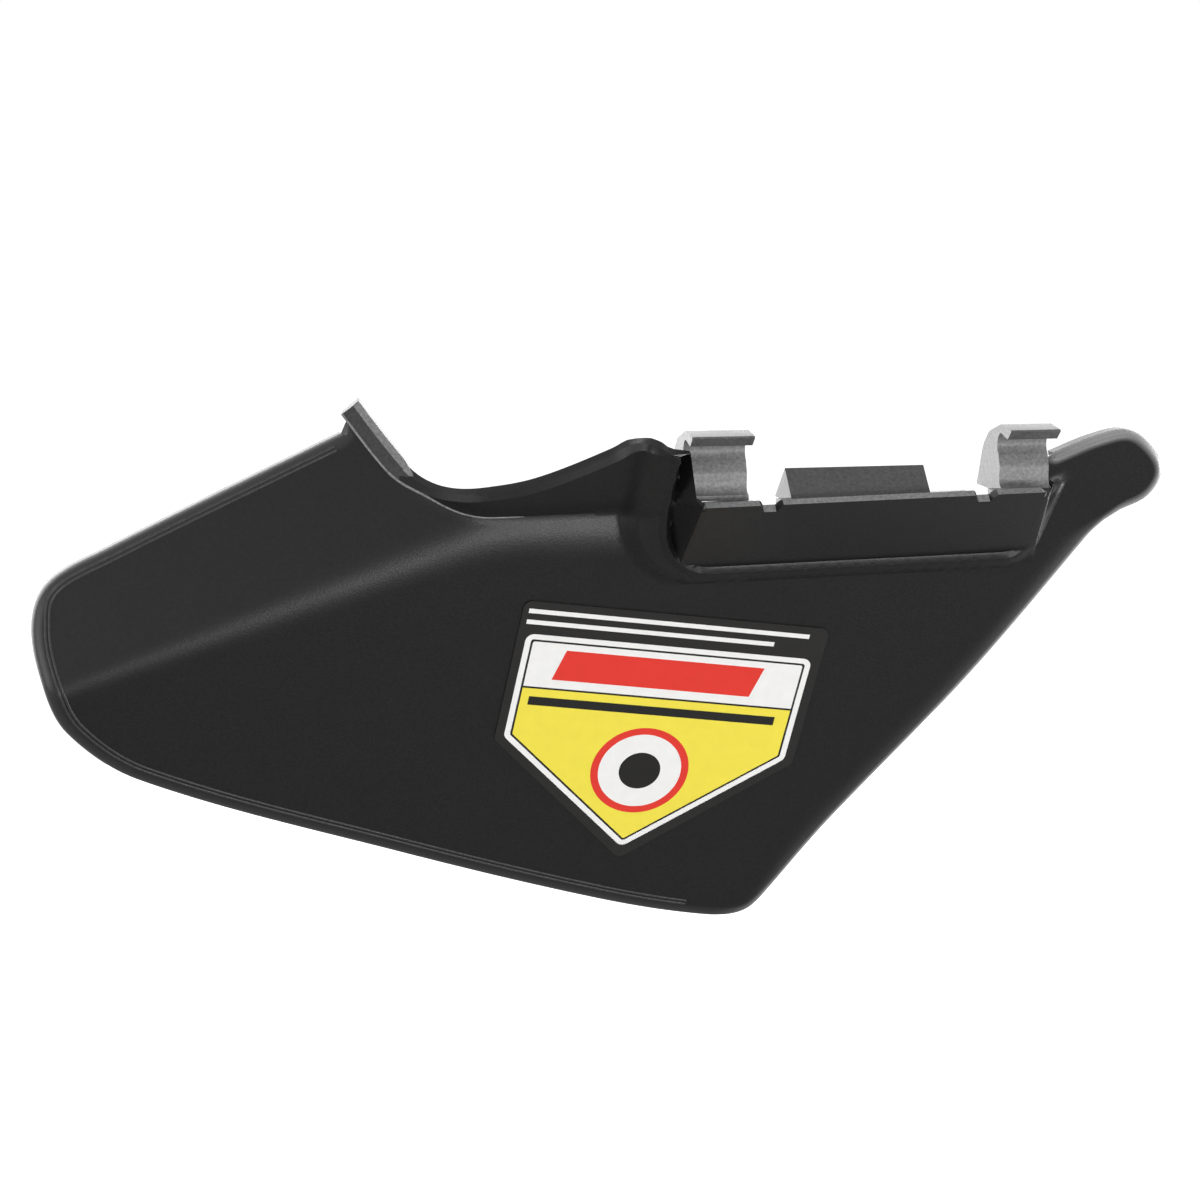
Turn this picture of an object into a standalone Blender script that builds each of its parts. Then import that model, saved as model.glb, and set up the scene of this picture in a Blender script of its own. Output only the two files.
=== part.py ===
"""Side discharge chute of a walk-behind mower: one black moulded hood with a sticker on its side panel.

Frame: the axis of the hinge rod is X and the origin is midway between the two hooks. -Y points outboard,
to the side that the panel faces, and +Z is up. The moulding is one sheet whose outer surface is a depth
y(x, z), given by a few planes and folds, so every feature follows the sizes below.
"""

import math

import bmesh
import bpy
import numpy as np
from mathutils import Vector
from mathutils.geometry import delaunay_2d_cdt

MM = 0.001

# Walls of the moulding
WALL = 2.8 * MM
HOOK_WALL = 3.0 * MM
WEB_WALL = 2.4 * MM
LEDGE_WALL = 1.8 * MM

# The hood is turned a little about Y against the hinge rod, and hangs this far below the rod's height.
# The sizes of the hood and the sticker are taken before that turn.
HOOD_TURN = math.radians(1.2)
HOOD_DROP = 1.0 * MM

# Side panel: a plane along X, its lower edge tucked inboard
PANEL_Y = 5.8 * MM
PANEL_TILT = 0.365

# Fold between the side panel and the roof of the outlet end
FOLD_START_X = -266.0 * MM
FOLD_START_Z = -70.8 * MM
FOLD_RISE = 0.342
FOLD_TOP_Z = -22.5 * MM
FOLD_TOP_BLEND = 5.0 * MM
FOLD_LENGTH = 180.0 * MM
FOLD_BLEND_TIP = 4.0 * MM
FOLD_BLEND_ROOT = 10.0 * MM
ROOF_SLOPE = 0.47
ROOF_FADE = 12.0 * MM

# Flared collar along the inlet: its foot is a straight run that turns level
COLLAR_FOOT_Z = -18.4 * MM
COLLAR_BEND_X = -161.0 * MM
COLLAR_BEND_Z = 3.4 * MM
COLLAR_RUN = -1.3
COLLAR_BLEND = 24.0 * MM
COLLAR_FLARE = 1.45
CREASE_BLEND = 1.0 * MM
RIM_BAND = 2.4 * MM

# Ridge between the collar and the awning that carries the hooks
RIDGE_X = -84.0 * MM
RIDGE_FOOT_Z = -45.0 * MM
RIDGE_FOOT_RADIUS = 26.0 * MM
RIDGE_HEIGHT = 4.0 * MM
RIDGE_FULL_WIDTH = 16.0 * MM
BEAD_LEFT_X = -68.5 * MM
BEAD_Z = -41.0 * MM
BEAD_RIGHT_X = 57.5 * MM
BEAD_TOP_RIGHT_X = 67.0 * MM
BEAD_RADIUS_LEFT = 17.0 * MM
BEAD_RADIUS_RIGHT = 10.0 * MM
BEAD_HEIGHT = 1.2 * MM
BEAD_HALF_WIDTH = 2.2 * MM
FOOT_MARGIN = 3.6 * MM
RIDGE_FADE = 8.0 * MM

# Awning: a flange that leans out to the rim, with a wall at each end
RIM_Y = -10.8 * MM
RIM_Z = -14.6 * MM
RIM_LEFT_X = -60.4 * MM
RIM_RIGHT_X = 57.2 * MM
AWNING_LEAN = 1.196
END_WALL_SLOPE = 2.4
LEFT_WALL_LEAN = 0.95
RIGHT_WALL_LEAN = 0.745
WALL_CLOSING = 6.0
AWNING_BLEND = 0.8 * MM
NOTCH_CENTRES_X = (-37.4 * MM, 35.4 * MM)
NOTCH_WIDTH = 5.9 * MM
NOTCH_BEVEL = 0.9 * MM
NOTCH_DEPTH = 2.6 * MM
LEDGE_DEPTH = 12.0 * MM
LEDGE_INSET = 1.2 * MM
LEDGE_RISE = 0.5 * MM
LEDGE_STEP = 0.3 * MM
LEDGE_END_GAP = 1.0 * MM

# Hooks that snap over the hinge rod, as (y, z) from the rod's axis
ROD_SPACE_RADIUS = 4.2 * MM
REAR_HOOK_LEFT_X = -63.6 * MM
REAR_HOOK_RIGHT_X = -42.8 * MM
FRONT_HOOK_LEFT_X = 43.8 * MM
FRONT_HOOK_RIGHT_X = 61.0 * MM
HOOK_TOP_RADIUS = 7.2 * MM
LIP_TIP_Y = -9.6 * MM
LIP_TIP_Z = 6.0 * MM
LIP_UNDER_Y = -6.2 * MM
LIP_UNDER_Z = 2.8 * MM
HOOK_BUMP_Y = 1.2 * MM
HOOK_BUMP_Z = -7.0 * MM
HOOK_BASE_Z = -15.8 * MM
HOOK_BASE_Y = -1.8 * MM
WEB_BACK_Y = 25.0 * MM
WEB_SHOULDER_Y = 19.0 * MM
WEB_SHOULDER_Z = -1.5 * MM

# Stop tab between the hooks: a sloped plate with a triangular wall at each end
TAB_LEFT_X = -28.8 * MM
TAB_RIGHT_X = 18.8 * MM
TAB_DRAFT = 1.2 * MM
TAB_FOOT_Y = -5.5 * MM
TAB_FOOT_Z = -17.5 * MM
TAB_APEX_Y = 6.0 * MM
TAB_APEX_Z = -6.4 * MM
TAB_BACK_Y = 19.0 * MM
TAB_WALL = 2.4 * MM

# Edge of the hood: rolled back on a small radius, and on a large one along the front
HEM_RADIUS = 4.0 * MM
HEM_DEPTH = 5.0 * MM
UPPER_HEM_RADIUS = 3.1 * MM
UPPER_HEM_START_Z = -52.0 * MM
UPPER_HEM_FADE = 16.0 * MM
FRONT_RADIUS = 12.0 * MM
FRONT_DEPTH = 28.0 * MM
FRONT_START_X = -42.0 * MM
FRONT_FADE = 34.0 * MM
NOSE_RADIUS = 3.6 * MM
NOSE_DEPTH = 6.0 * MM
NOSE_START_Z = -36.0 * MM
NOSE_FADE = 14.0 * MM

# Lip on the upper end of the collar: a band in front of the rim, and a return behind it.
# Each pair is at the collar's upper end and where the lip dies into the rim.
LIP_BANDS = (4.4 * MM, 2.0 * MM)
LIP_FRONTS = (-0.4 * MM, 0.4 * MM)
LIP_SIDES = (0.2 * MM, -0.3 * MM)
LIP_FLARES = (3.6 * MM, -0.4 * MM)
LIP_DEPTHS = (8.0 * MM, 2.2 * MM)
LIP_ROOTS = (5.0 * MM, 2.0 * MM)
LIP_WALL = 1.4 * MM
LIP_END_X = -144.0 * MM
LIP_GROWTH = 2.8

# Sticker: a house-shaped film, its upper left corner on the panel and its turn in the panel's plane
STICKER_LEFT_X = -114.2 * MM
STICKER_TOP_Z = -47.4 * MM
STICKER_TURN = math.radians(-9.5)
STICKER_WIDTH = 108.0 * MM
STICKER_SIDE = 55.0 * MM
STICKER_HEIGHT = 100.0 * MM
STICKER_RADIUS = 3.0 * MM
STICKER_FILM = 0.3 * MM
STICKER_GAP = 0.3 * MM

# Outline of the hood from the front, in millimetres: the upper edge, the outlet end, the bottom and the
# front edge, then the nose
EDGE_POINTS = (
    (-171.5, 8.4),
    (-251.0, -27.8),
    (-270.5, -38.4),
    (-276.3, -51.0),
    (-274.0, -69.0),
    (-266.5, -87.8),
    (-243.5, -106.8),
    (-155.5, -141.0),
    (-83.0, -165.9),
    (-45.0, -175.5),
    (-28.5, -175.8),
    (-18.6, -167.4),
    (2.0, -141.2),
    (48.2, -86.4),
    (88.8, -30.4),
)
NOSE_POINTS = (
    (93.0, -26.6),
    (101.9, -21.6),
    (105.8, -13.0),
    (102.2, -5.0),
    (92.0, 2.6),
    (80.0, 1.0),
    (66.0, -4.4),
)
COLLAR_RIM_POINTS = (
    (-70.5, 3.2),
    (-75.5, 6.2),
    (-81.0, 7.3),
    (-88.0, 3.0),
    (-110.8, -6.6),
    (-128.0, -9.8),
    (-141.0, -9.8),
    (-150.0, -5.6),
    (-158.0, 3.8),
    (-167.5, 17.5),
)
INLET_X = 60.2 * MM
INLET_TOP_Z = -7.6 * MM
STRIP_POINTS = (
    (-61.8, -12.4),
    (-63.0, 2.8),
)

# Fineness of the mesh
CELL = 8.0 * MM
DETAIL_CELL = 3.2 * MM
DETAIL_MARGIN = 7.0 * MM
EDGE_STEP = 7.0 * MM
LINE_STEP = 5.0 * MM
HEM_RINGS = (1.0 * MM, 3.0 * MM, 6.5 * MM, 12.0 * MM)
NEAR_EDGE = 0.7 * MM
TURN_REACH = 12.0 * MM
RIM_REACH = 5.0 * MM
STEEP = 2.0
CREASE_ROUNDS = 25
SKIRT_ROWS = 2

# Finish
PLASTIC_COLOUR = (0.028, 0.028, 0.029, 1.0)
PLASTIC_ROUGHNESS = 0.5
STICKER_COLOUR = (0.9, 0.78, 0.05, 1.0)
STICKER_ROUGHNESS = 0.35


def clear_scene():
    """Removes every object of the open scene."""
    for old in list(bpy.data.objects):
        bpy.data.objects.remove(old, do_unlink=True)


def smooth_max(a, b, blend):
    """The larger of two depths, with the fold between them rounded within the blend."""
    near = np.clip(1.0 - np.abs(a - b) / blend, 0.0, 1.0)
    return np.maximum(a, b) + 0.25 * blend * near**2


def smooth_min(a, b, blend):
    return -smooth_max(-a, -b, blend)


def smooth_step(value):
    t = np.clip(value, 0.0, 1.0)
    return t * t * (3.0 - 2.0 * t)


def rounded_path(corners, radii, step=math.radians(9.0)):
    """Points along straight runs whose inner corners are arcs of the given radii."""
    points = [Vector(corners[0])]
    for i, radius in enumerate(radii, start=1):
        corner = Vector(corners[i])
        before = (Vector(corners[i - 1]) - corner).normalized()
        after = (Vector(corners[i + 1]) - corner).normalized()
        half = 0.5 * before.angle(after)
        centre = corner + (before + after).normalized() * (radius / math.sin(half))
        start = corner + before * (radius / math.tan(half)) - centre
        sweep = (corner + after * (radius / math.tan(half)) - centre).angle_signed(start)
        count = max(2, round(abs(sweep) / step))
        for k in range(count + 1):
            angle = sweep * k / count
            turned = Vector(
                (
                    start.x * math.cos(angle) - start.y * math.sin(angle),
                    start.x * math.sin(angle) + start.y * math.cos(angle),
                )
            )
            points.append(centre + turned)
    points.append(Vector(corners[-1]))
    return np.array([tuple(point) for point in points])


def spline(points, step):
    """A Catmull-Rom curve through the points, sampled about every step."""
    points = np.asarray(points, float)
    padded = np.vstack([2 * points[0] - points[1], points, 2 * points[-1] - points[-2]])
    curve = []
    for i in range(1, len(padded) - 2):
        before, start, end, after = padded[i - 1 : i + 3]
        length = np.linalg.norm(end - start)
        pull_in = 0.5 * (end - before) * length / max(np.linalg.norm(end - before), 1e-9) * 2.0
        pull_out = 0.5 * (after - start) * length / max(np.linalg.norm(after - start), 1e-9) * 2.0
        for t in np.arange(0.0, 1.0, 1.0 / max(1, round(length / step))):
            a = 2 * t**3 - 3 * t**2 + 1
            b = t**3 - 2 * t**2 + t
            c = -2 * t**3 + 3 * t**2
            d = t**3 - t**2
            curve.append(a * start + b * pull_in + c * end + d * pull_out)
    curve.append(padded[-2])
    return np.array(curve)


def path_distance(x, z, path):
    """Signed distance to an open path, positive on its left side."""
    x = np.asarray(x, float)
    z = np.asarray(z, float)
    best = np.full(x.shape, np.inf)
    side = np.ones(x.shape)
    for start, end in zip(path[:-1], path[1:]):
        run = end - start
        t = np.clip(((x - start[0]) * run[0] + (z - start[1]) * run[1]) / run.dot(run), 0.0, 1.0)
        away_x = x - start[0] - t * run[0]
        away_z = z - start[1] - t * run[1]
        distance = np.hypot(away_x, away_z)
        nearer = distance < best
        best = np.where(nearer, distance, best)
        side = np.where(nearer, np.where(run[0] * away_z - run[1] * away_x >= 0.0, 1.0, -1.0), side)
    return best * side


def left_normals(path):
    """Unit normals on the left side of a path, one for each point."""
    tangents = np.gradient(path, axis=0)
    tangents /= np.linalg.norm(tangents, axis=1)[:, None]
    return np.column_stack([-tangents[:, 1], tangents[:, 0]])


def path_frame(x, z, path):
    """Distance to the nearest point of a path, without sign, and the path's left normal there."""
    normals = left_normals(path)
    best = np.full(x.shape, np.inf)
    normal_x = np.zeros(x.shape)
    normal_z = np.zeros(x.shape)
    for start, end, first, last in zip(path[:-1], path[1:], normals[:-1], normals[1:]):
        run = end - start
        t = np.clip(((x - start[0]) * run[0] + (z - start[1]) * run[1]) / run.dot(run), 0.0, 1.0)
        distance = np.hypot(x - start[0] - t * run[0], z - start[1] - t * run[1])
        nearer = distance < best
        best = np.where(nearer, distance, best)
        normal_x = np.where(nearer, first[0] + t * (last[0] - first[0]), normal_x)
        normal_z = np.where(nearer, first[1] + t * (last[1] - first[1]), normal_z)
    return best, normal_x, normal_z


def bead_path():
    """The crest line of the ridge, round the awning from upper left to upper right."""
    corners = (
        (BEAD_LEFT_X, 8.0 * MM),
        (BEAD_LEFT_X, BEAD_Z),
        (BEAD_RIGHT_X, BEAD_Z),
        (BEAD_TOP_RIGHT_X, RIM_Z),
    )
    return rounded_path(corners, (BEAD_RADIUS_LEFT, BEAD_RADIUS_RIGHT))


def foot_path():
    """The line where the ridge leaves the side panel."""
    corners = (
        (RIDGE_X, 8.0 * MM),
        (RIDGE_X, RIDGE_FOOT_Z),
        (BEAD_RIGHT_X + FOOT_MARGIN, RIDGE_FOOT_Z),
        (BEAD_TOP_RIGHT_X + FOOT_MARGIN, RIM_Z),
    )
    return rounded_path(corners, (RIDGE_FOOT_RADIUS, BEAD_RADIUS_RIGHT + FOOT_MARGIN))


def collar_foot_z(x):
    run = COLLAR_BEND_Z + COLLAR_RUN * (x - COLLAR_BEND_X)
    return smooth_max(run, np.full_like(run, COLLAR_FOOT_Z), COLLAR_BLEND)


def roof_share(x):
    """1 where the roof stands over the panel, 0 past the ridge."""
    return 1.0 - smooth_step((x - RIDGE_X) / ROOF_FADE)


def hood_y(x, z):
    """The side panel, the roof and the collar, without the ridge."""
    panel = PANEL_Y - PANEL_TILT * z
    line = FOLD_START_Z + FOLD_RISE * (x - FOLD_START_X)
    fold = smooth_min(line, np.full_like(x, FOLD_TOP_Z), FOLD_TOP_BLEND)
    along = np.clip((x - FOLD_START_X) / FOLD_LENGTH, 0.0, 1.0)
    blend = FOLD_BLEND_TIP + (FOLD_BLEND_ROOT - FOLD_BLEND_TIP) * along
    roof = PANEL_Y - PANEL_TILT * fold + ROOF_SLOPE * (z - fold)
    share = roof_share(x)
    return smooth_max(panel, roof, blend) * share + panel * (1.0 - share)


def collar_rim():
    """The rim of the collar, from the ridge to the collar's upper end."""
    return spline(np.array(COLLAR_RIM_POINTS) * MM, LINE_STEP)


def collar_rise(x, z):
    """How far the collar stands outboard of the hood."""
    step = 1.0 * MM
    slope = (collar_foot_z(x + step) - collar_foot_z(x - step)) / (2.0 * step)
    above = (z - collar_foot_z(x)) / np.sqrt(1.0 + slope**2)
    above = above - np.maximum(RIM_BAND - path_frame(x, z, collar_rim())[0], 0.0)
    ends = 1.0 - smooth_step((x - BEAD_LEFT_X) / (5.0 * MM))
    flare = COLLAR_FLARE - (ROOF_SLOPE + PANEL_TILT) * (1.0 - roof_share(x))
    return flare * ends * 0.5 * (above + np.sqrt(above**2 + CREASE_BLEND**2))


def ridge_rise(x, z):
    """The swelling between the ridge's foot and its crest, and the bead on the crest."""
    from_foot = path_distance(x, z, foot_path())
    from_bead = path_distance(x, z, bead_path())
    gap = np.maximum(from_foot - from_bead, 1e-6)
    share = np.clip(from_foot / gap, 0.0, 1.0)
    height = RIDGE_HEIGHT * np.sqrt(np.clip(gap / RIDGE_FULL_WIDTH, 0.0, 1.0))
    swell = height * smooth_step(share / 0.4) * (1.0 - smooth_step(from_bead / (4.0 * MM)))
    bead = BEAD_HEIGHT * np.clip(1.0 - (from_bead / BEAD_HALF_WIDTH) ** 2, 0.0, 1.0)
    fade = smooth_step((z - RIM_Z) / RIDGE_FADE + 0.5) * (x > 0.0)
    return (swell + bead) * (1.0 - fade)


def awning_y(x, z):
    """The leaning flange and its two end walls."""
    low = np.minimum(z, RIM_Z) - RIM_Z
    high = np.maximum(z, RIM_Z) - RIM_Z
    flange = RIM_Y - AWNING_LEAN * low
    left = RIM_Y - END_WALL_SLOPE * (x - RIM_LEFT_X) - LEFT_WALL_LEAN * low
    right = RIM_Y + END_WALL_SLOPE * (x - RIM_RIGHT_X) - RIGHT_WALL_LEAN * low
    right += WALL_CLOSING * high
    return smooth_max(smooth_max(flange, left, AWNING_BLEND), right, AWNING_BLEND)


def ridged_y(x, z):
    """The hood with its collar and its ridge, without the awning."""
    return hood_y(x, z) - collar_rise(x, z) - ridge_rise(x, z)


def surface_y(x, z):
    """Outer surface of the whole moulding, before its edge rolls back."""
    return smooth_min(ridged_y(x, z), awning_y(x, z), AWNING_BLEND)


def hem_path(step):
    """The free edge: round the outlet end, the bottom, the front and the nose."""
    edge = spline(np.array(EDGE_POINTS) * MM, step)
    nose = spline(np.array(NOSE_POINTS) * MM, step)
    return np.vstack([edge, nose])


def front_share(x):
    """1 along the front edge, 0 along the bottom and round the outlet end."""
    return smooth_step((x - FRONT_START_X) / FRONT_FADE)


def upper_share(x, z):
    """1 along the upper edge of the outlet end, 0 along the bottom and the front."""
    return smooth_step((z - UPPER_HEM_START_Z) / UPPER_HEM_FADE) * (1.0 - front_share(x))


def nose_share(x, z):
    return smooth_step((z - NOSE_START_Z) / NOSE_FADE) * front_share(x)


def edge_radius(x, z):
    radius = HEM_RADIUS + (FRONT_RADIUS - HEM_RADIUS) * front_share(x)
    radius = radius + (UPPER_HEM_RADIUS - HEM_RADIUS) * upper_share(x, z)
    return radius + (NOSE_RADIUS - radius) * nose_share(x, z)


def skirt_depth(x, z):
    depth = HEM_DEPTH + (FRONT_DEPTH - HEM_DEPTH) * front_share(x)
    return depth + (NOSE_DEPTH - depth) * nose_share(x, z)


def edge_roll(x, z, distance):
    """How far the surface rolls back at this distance from the free edge."""
    radius = edge_radius(x, z)
    inside = np.clip(distance, 0.0, radius)
    return radius - np.sqrt(radius**2 - (radius - inside) ** 2)


def rim_points():
    """The rim of the awning from right to left, with its notches."""
    bevel = NOTCH_BEVEL
    half = 0.5 * NOTCH_WIDTH
    points = [(INLET_X, INLET_TOP_Z), (INLET_X, RIM_Z), (RIM_RIGHT_X, RIM_Z)]
    for centre in sorted(NOTCH_CENTRES_X, reverse=True):
        points.append((centre + half + bevel, RIM_Z))
        points.append((centre + half - bevel, RIM_Z - NOTCH_DEPTH))
        points.append((centre - half + bevel, RIM_Z - NOTCH_DEPTH))
        points.append((centre - half - bevel, RIM_Z))
    points.append((RIM_LEFT_X, RIM_Z))
    return np.vstack([points, np.array(STRIP_POINTS) * MM])


def divided(points, step):
    """The same path with its long runs split into pieces of about the step."""
    pieces = []
    for start, end in zip(points[:-1], points[1:]):
        count = max(1, round(np.linalg.norm(end - start) / step))
        for k in range(count):
            pieces.append(start + (end - start) * k / count)
    pieces.append(points[-1])
    return np.array(pieces)


def inset_rings(edge, distances):
    """The edge moved inward by each distance, in stretches that keep that distance."""
    inward = left_normals(edge)
    rings = []
    for distance in distances:
        moved = edge + inward * distance
        clear = path_frame(moved[:, 0], moved[:, 1], edge)[0] > 0.96 * distance
        stretch = []
        for point, keep in zip(moved, clear):
            if keep:
                stretch.append(point)
            elif stretch:
                rings.append(np.array(stretch))
                stretch = []
        if stretch:
            rings.append(np.array(stretch))
    return [ring for ring in rings if len(ring) > 1]


def wall_creases():
    """The lines where the awning's end walls meet the hood, found by repeated substitution."""
    z = np.arange(BEAD_Z, COLLAR_RIM_POINTS[0][1] * MM, DETAIL_CELL)
    low = np.minimum(z, RIM_Z) - RIM_Z
    high = np.maximum(z, RIM_Z) - RIM_Z
    left = np.full_like(z, RIM_LEFT_X)
    right = np.full_like(z, RIM_RIGHT_X)
    for _ in range(CREASE_ROUNDS):
        reach = ridged_y(left, z) - RIM_Y + LEFT_WALL_LEAN * low
        left = RIM_LEFT_X - reach / END_WALL_SLOPE
        reach = ridged_y(right, z) - RIM_Y + RIGHT_WALL_LEAN * low - WALL_CLOSING * high
        right = RIM_RIGHT_X + reach / END_WALL_SLOPE
    return [np.column_stack([left, z]), np.column_stack([right, z])]


def feature_lines():
    """The creases that the mesh follows: the collar's foot, the ridge and the awning's edges."""
    xs = np.linspace(-171.0 * MM, RIDGE_X, 22)
    collar = np.column_stack([xs, collar_foot_z(xs)])
    bottom = BEAD_Z + 3.0 * MM
    low = bottom - RIM_Z
    shift_left = low * (AWNING_LEAN - LEFT_WALL_LEAN) / END_WALL_SLOPE
    shift_right = low * (AWNING_LEAN - RIGHT_WALL_LEAN) / END_WALL_SLOPE
    left_edge = np.array([(RIM_LEFT_X, RIM_Z), (RIM_LEFT_X + shift_left, bottom)])
    right_edge = np.array([(RIM_RIGHT_X, RIM_Z), (RIM_RIGHT_X - shift_right, bottom)])
    lines = [collar] + wall_creases()
    for path in (foot_path(), left_edge, right_edge):
        lines.append(divided(path, LINE_STEP))
    crest = divided(bead_path(), LINE_STEP)
    side = left_normals(crest) * BEAD_HALF_WIDTH
    return lines + [crest, crest + side, crest - side]


def sheet_grid(hem, inlet):
    """Points and triangles over the outline, and the numbers of the outline's own points in order."""
    outline = np.vstack([hem, inlet])
    closed = np.vstack([outline, outline[:1]])
    points = [tuple(point) for point in outline]
    edges = [(i, (i + 1) % len(outline)) for i in range(len(outline))]
    for path in inset_rings(hem, HEM_RINGS) + feature_lines():
        previous = None
        for point, depth in zip(path, path_distance(path[:, 0], path[:, 1], closed)):
            if depth < NEAR_EDGE:
                previous = None
                continue
            points.append(tuple(point))
            if previous is not None:
                edges.append((previous, len(points) - 1))
            previous = len(points) - 1

    right = BEAD_TOP_RIGHT_X + DETAIL_MARGIN
    fine = (RIDGE_X - DETAIL_MARGIN, right, RIDGE_FOOT_Z - DETAIL_MARGIN, outline[:, 1].max())
    whole = (outline[:, 0].min(), outline[:, 0].max(), outline[:, 1].min(), outline[:, 1].max())
    for (x_min, x_max, z_min, z_max), cell in ((fine, DETAIL_CELL), (whole, CELL)):
        taken = np.array(points)
        grid_x, grid_z = np.meshgrid(np.arange(x_min, x_max, cell), np.arange(z_min, z_max, cell))
        depths = path_distance(grid_x, grid_z, closed)
        for x, z, depth in zip(grid_x.ravel(), grid_z.ravel(), depths.ravel()):
            if depth > 0.4 * cell and np.hypot(taken[:, 0] - x, taken[:, 1] - z).min() > 0.6 * cell:
                points.append((x, z))
    made = delaunay_2d_cdt([Vector(p) for p in points], edges, [list(range(len(outline)))], 1, 1e-7)
    number = {}
    for i, sources in enumerate(made[3]):
        for source in sources:
            number[source] = i
    flat = np.array([tuple(point) for point in made[0]])
    return flat[:, 0], flat[:, 1], made[2], [number[i] for i in range(len(outline))]


def slope_of(depth, x, z, step=0.2 * MM):
    """The slope of a depth along x and along z."""
    along_x = (depth(x + step, z) - depth(x - step, z)) / (2.0 * step)
    along_z = (depth(x, z + step) - depth(x, z - step)) / (2.0 * step)
    return along_x, along_z


def inner_points(x, z, hem, inlet):
    """Where the inner face of the wall lies behind each point of the outer face."""
    slope_x, slope_z = slope_of(surface_y, x, z)
    stretch = np.sqrt(1.0 + slope_x**2 + slope_z**2)
    edge, inward_x, inward_z = path_frame(x, z, hem)
    turn = WALL * np.clip(1.0 - edge / TURN_REACH, 0.0, 1.0)
    hem_x = x + inward_x * turn
    hem_z = z + inward_z * turn

    rim = path_frame(x, z, inlet)[0]
    lift = np.clip(1.0 - rim / RIM_REACH, 0.0, 1.0) * np.clip(edge / RIM_REACH, 0.0, 1.0)
    lift *= 1.0 - smooth_step(stretch - STEEP)
    lift_x = -WALL * lift * slope_x / stretch
    lift_z = -WALL * lift * slope_z / stretch

    radius = edge_radius(x, z) - WALL
    inside = np.clip(edge + turn - WALL, 0.0, radius)
    roll = radius - np.sqrt(radius**2 - (radius - inside) ** 2)
    y = surface_y(hem_x, hem_z) + slope_x * lift_x + slope_z * lift_z + WALL * stretch + roll
    return hem_x + lift_x, y, hem_z + lift_z


def hood_mesh():
    """The wall of the hood as one closed mesh: outer face, inner face, skirt and rims."""
    hem = hem_path(EDGE_STEP)
    inlet = np.vstack([divided(rim_points(), LINE_STEP), collar_rim()])
    x, z, faces, border = sheet_grid(hem, inlet)
    y = surface_y(x, z) + edge_roll(x, z, path_frame(x, z, hem)[0])
    inner = inner_points(x, z, hem, np.vstack([hem[-1:], inlet, hem[:1]]))

    mesh = bmesh.new()
    used = sorted({i for face in faces for i in face})
    outside = {i: mesh.verts.new((x[i], y[i], z[i])) for i in used}
    inside = {i: mesh.verts.new((inner[0][i], inner[1][i], inner[2][i])) for i in used}
    for face in faces:
        mesh.faces.new([outside[i] for i in face])
        mesh.faces.new([inside[i] for i in reversed(face)])

    rows = [[(outside[i], inside[i]) for i in border[: len(hem)]]]
    for k in range(1, SKIRT_ROWS + 1):
        row = []
        for i in border[: len(hem)]:
            back = Vector((0.0, skirt_depth(x[i], z[i]) * k / SKIRT_ROWS, 0.0))
            row.append((mesh.verts.new(outside[i].co + back), mesh.verts.new(inside[i].co + back)))
        rows.append(row)
    for row, after in zip(rows[:-1], rows[1:]):
        for k in range(len(hem) - 1):
            mesh.faces.new((row[k][0], after[k][0], after[k + 1][0], row[k + 1][0]))
            mesh.faces.new((row[k][1], row[k + 1][1], after[k + 1][1], after[k][1]))
        mesh.faces.new((row[0][0], row[0][1], after[0][1], after[0][0]))
        mesh.faces.new((row[-1][0], after[-1][0], after[-1][1], row[-1][1]))
    for (near, near_in), (far, far_in) in zip(rows[-1][:-1], rows[-1][1:]):
        mesh.faces.new((near, near_in, far_in, far))
    open_run = border[len(hem) - 1 :] + border[:1]
    for i, j in zip(open_run[:-1], open_run[1:]):
        mesh.faces.new((outside[i], inside[i], inside[j], outside[j]))
    bmesh.ops.recalc_face_normals(mesh, faces=mesh.faces)
    return mesh


def new_object(name, mesh, material=None):
    """An object made from a bmesh, shaded smooth but for its sharp edges."""
    data = bpy.data.meshes.new(name)
    mesh.to_mesh(data)
    mesh.free()
    data.shade_smooth()
    data.set_sharp_from_angle(angle=math.radians(35.0))
    if material:
        data.materials.append(material)
    made = bpy.data.objects.new(name, data)
    bpy.context.scene.collection.objects.link(made)
    return made


def as_helper(made):
    """Keeps a shape that is joined to another out of the render."""
    made.hide_render = True
    made.display_type = "WIRE"
    return made


def prism(name, profile, left, right):
    """A closed prism along X whose ends are the (y, z) profile."""
    mesh = bmesh.new()
    near = [mesh.verts.new((left, y, z)) for y, z in profile]
    face = mesh.faces.new(near)
    grown = bmesh.ops.extrude_face_region(mesh, geom=[face])["geom"]
    far = [vert for vert in grown if isinstance(vert, bmesh.types.BMVert)]
    bmesh.ops.translate(mesh, verts=far, vec=(right - left, 0.0, 0.0))
    bmesh.ops.recalc_face_normals(mesh, faces=mesh.faces)
    return as_helper(new_object(name, mesh))


def join(target, tools, solver="EXACT"):
    """Unions the tools into the target, one after the other."""
    for tool in tools:
        union = target.modifiers.new("Join " + tool.name, "BOOLEAN")
        union.operation = "UNION"
        union.solver = solver
        union.object = tool


def arc(radius, start, end, count):
    """Points of an arc about the rod's axis, angles in degrees from +Y towards +Z."""
    angles = np.radians(np.linspace(start, end, count))
    return [(radius * math.cos(angle), radius * math.sin(angle)) for angle in angles]


def hook_inner_line():
    """The line of the hook that faces the rod, from its base up and round to the lip."""
    base = [(HOOK_BASE_Y, HOOK_BASE_Z), (HOOK_BUMP_Y - 2.6 * MM, RIM_Z + LEDGE_RISE)]
    flare = [(HOOK_BUMP_Y + 0.9 * MM, -11.5 * MM), (HOOK_BUMP_Y, HOOK_BUMP_Z)]
    return base + flare + arc(ROD_SPACE_RADIUS, -50.0, 118.0, 9) + [(LIP_UNDER_Y, LIP_UNDER_Z)]


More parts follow.
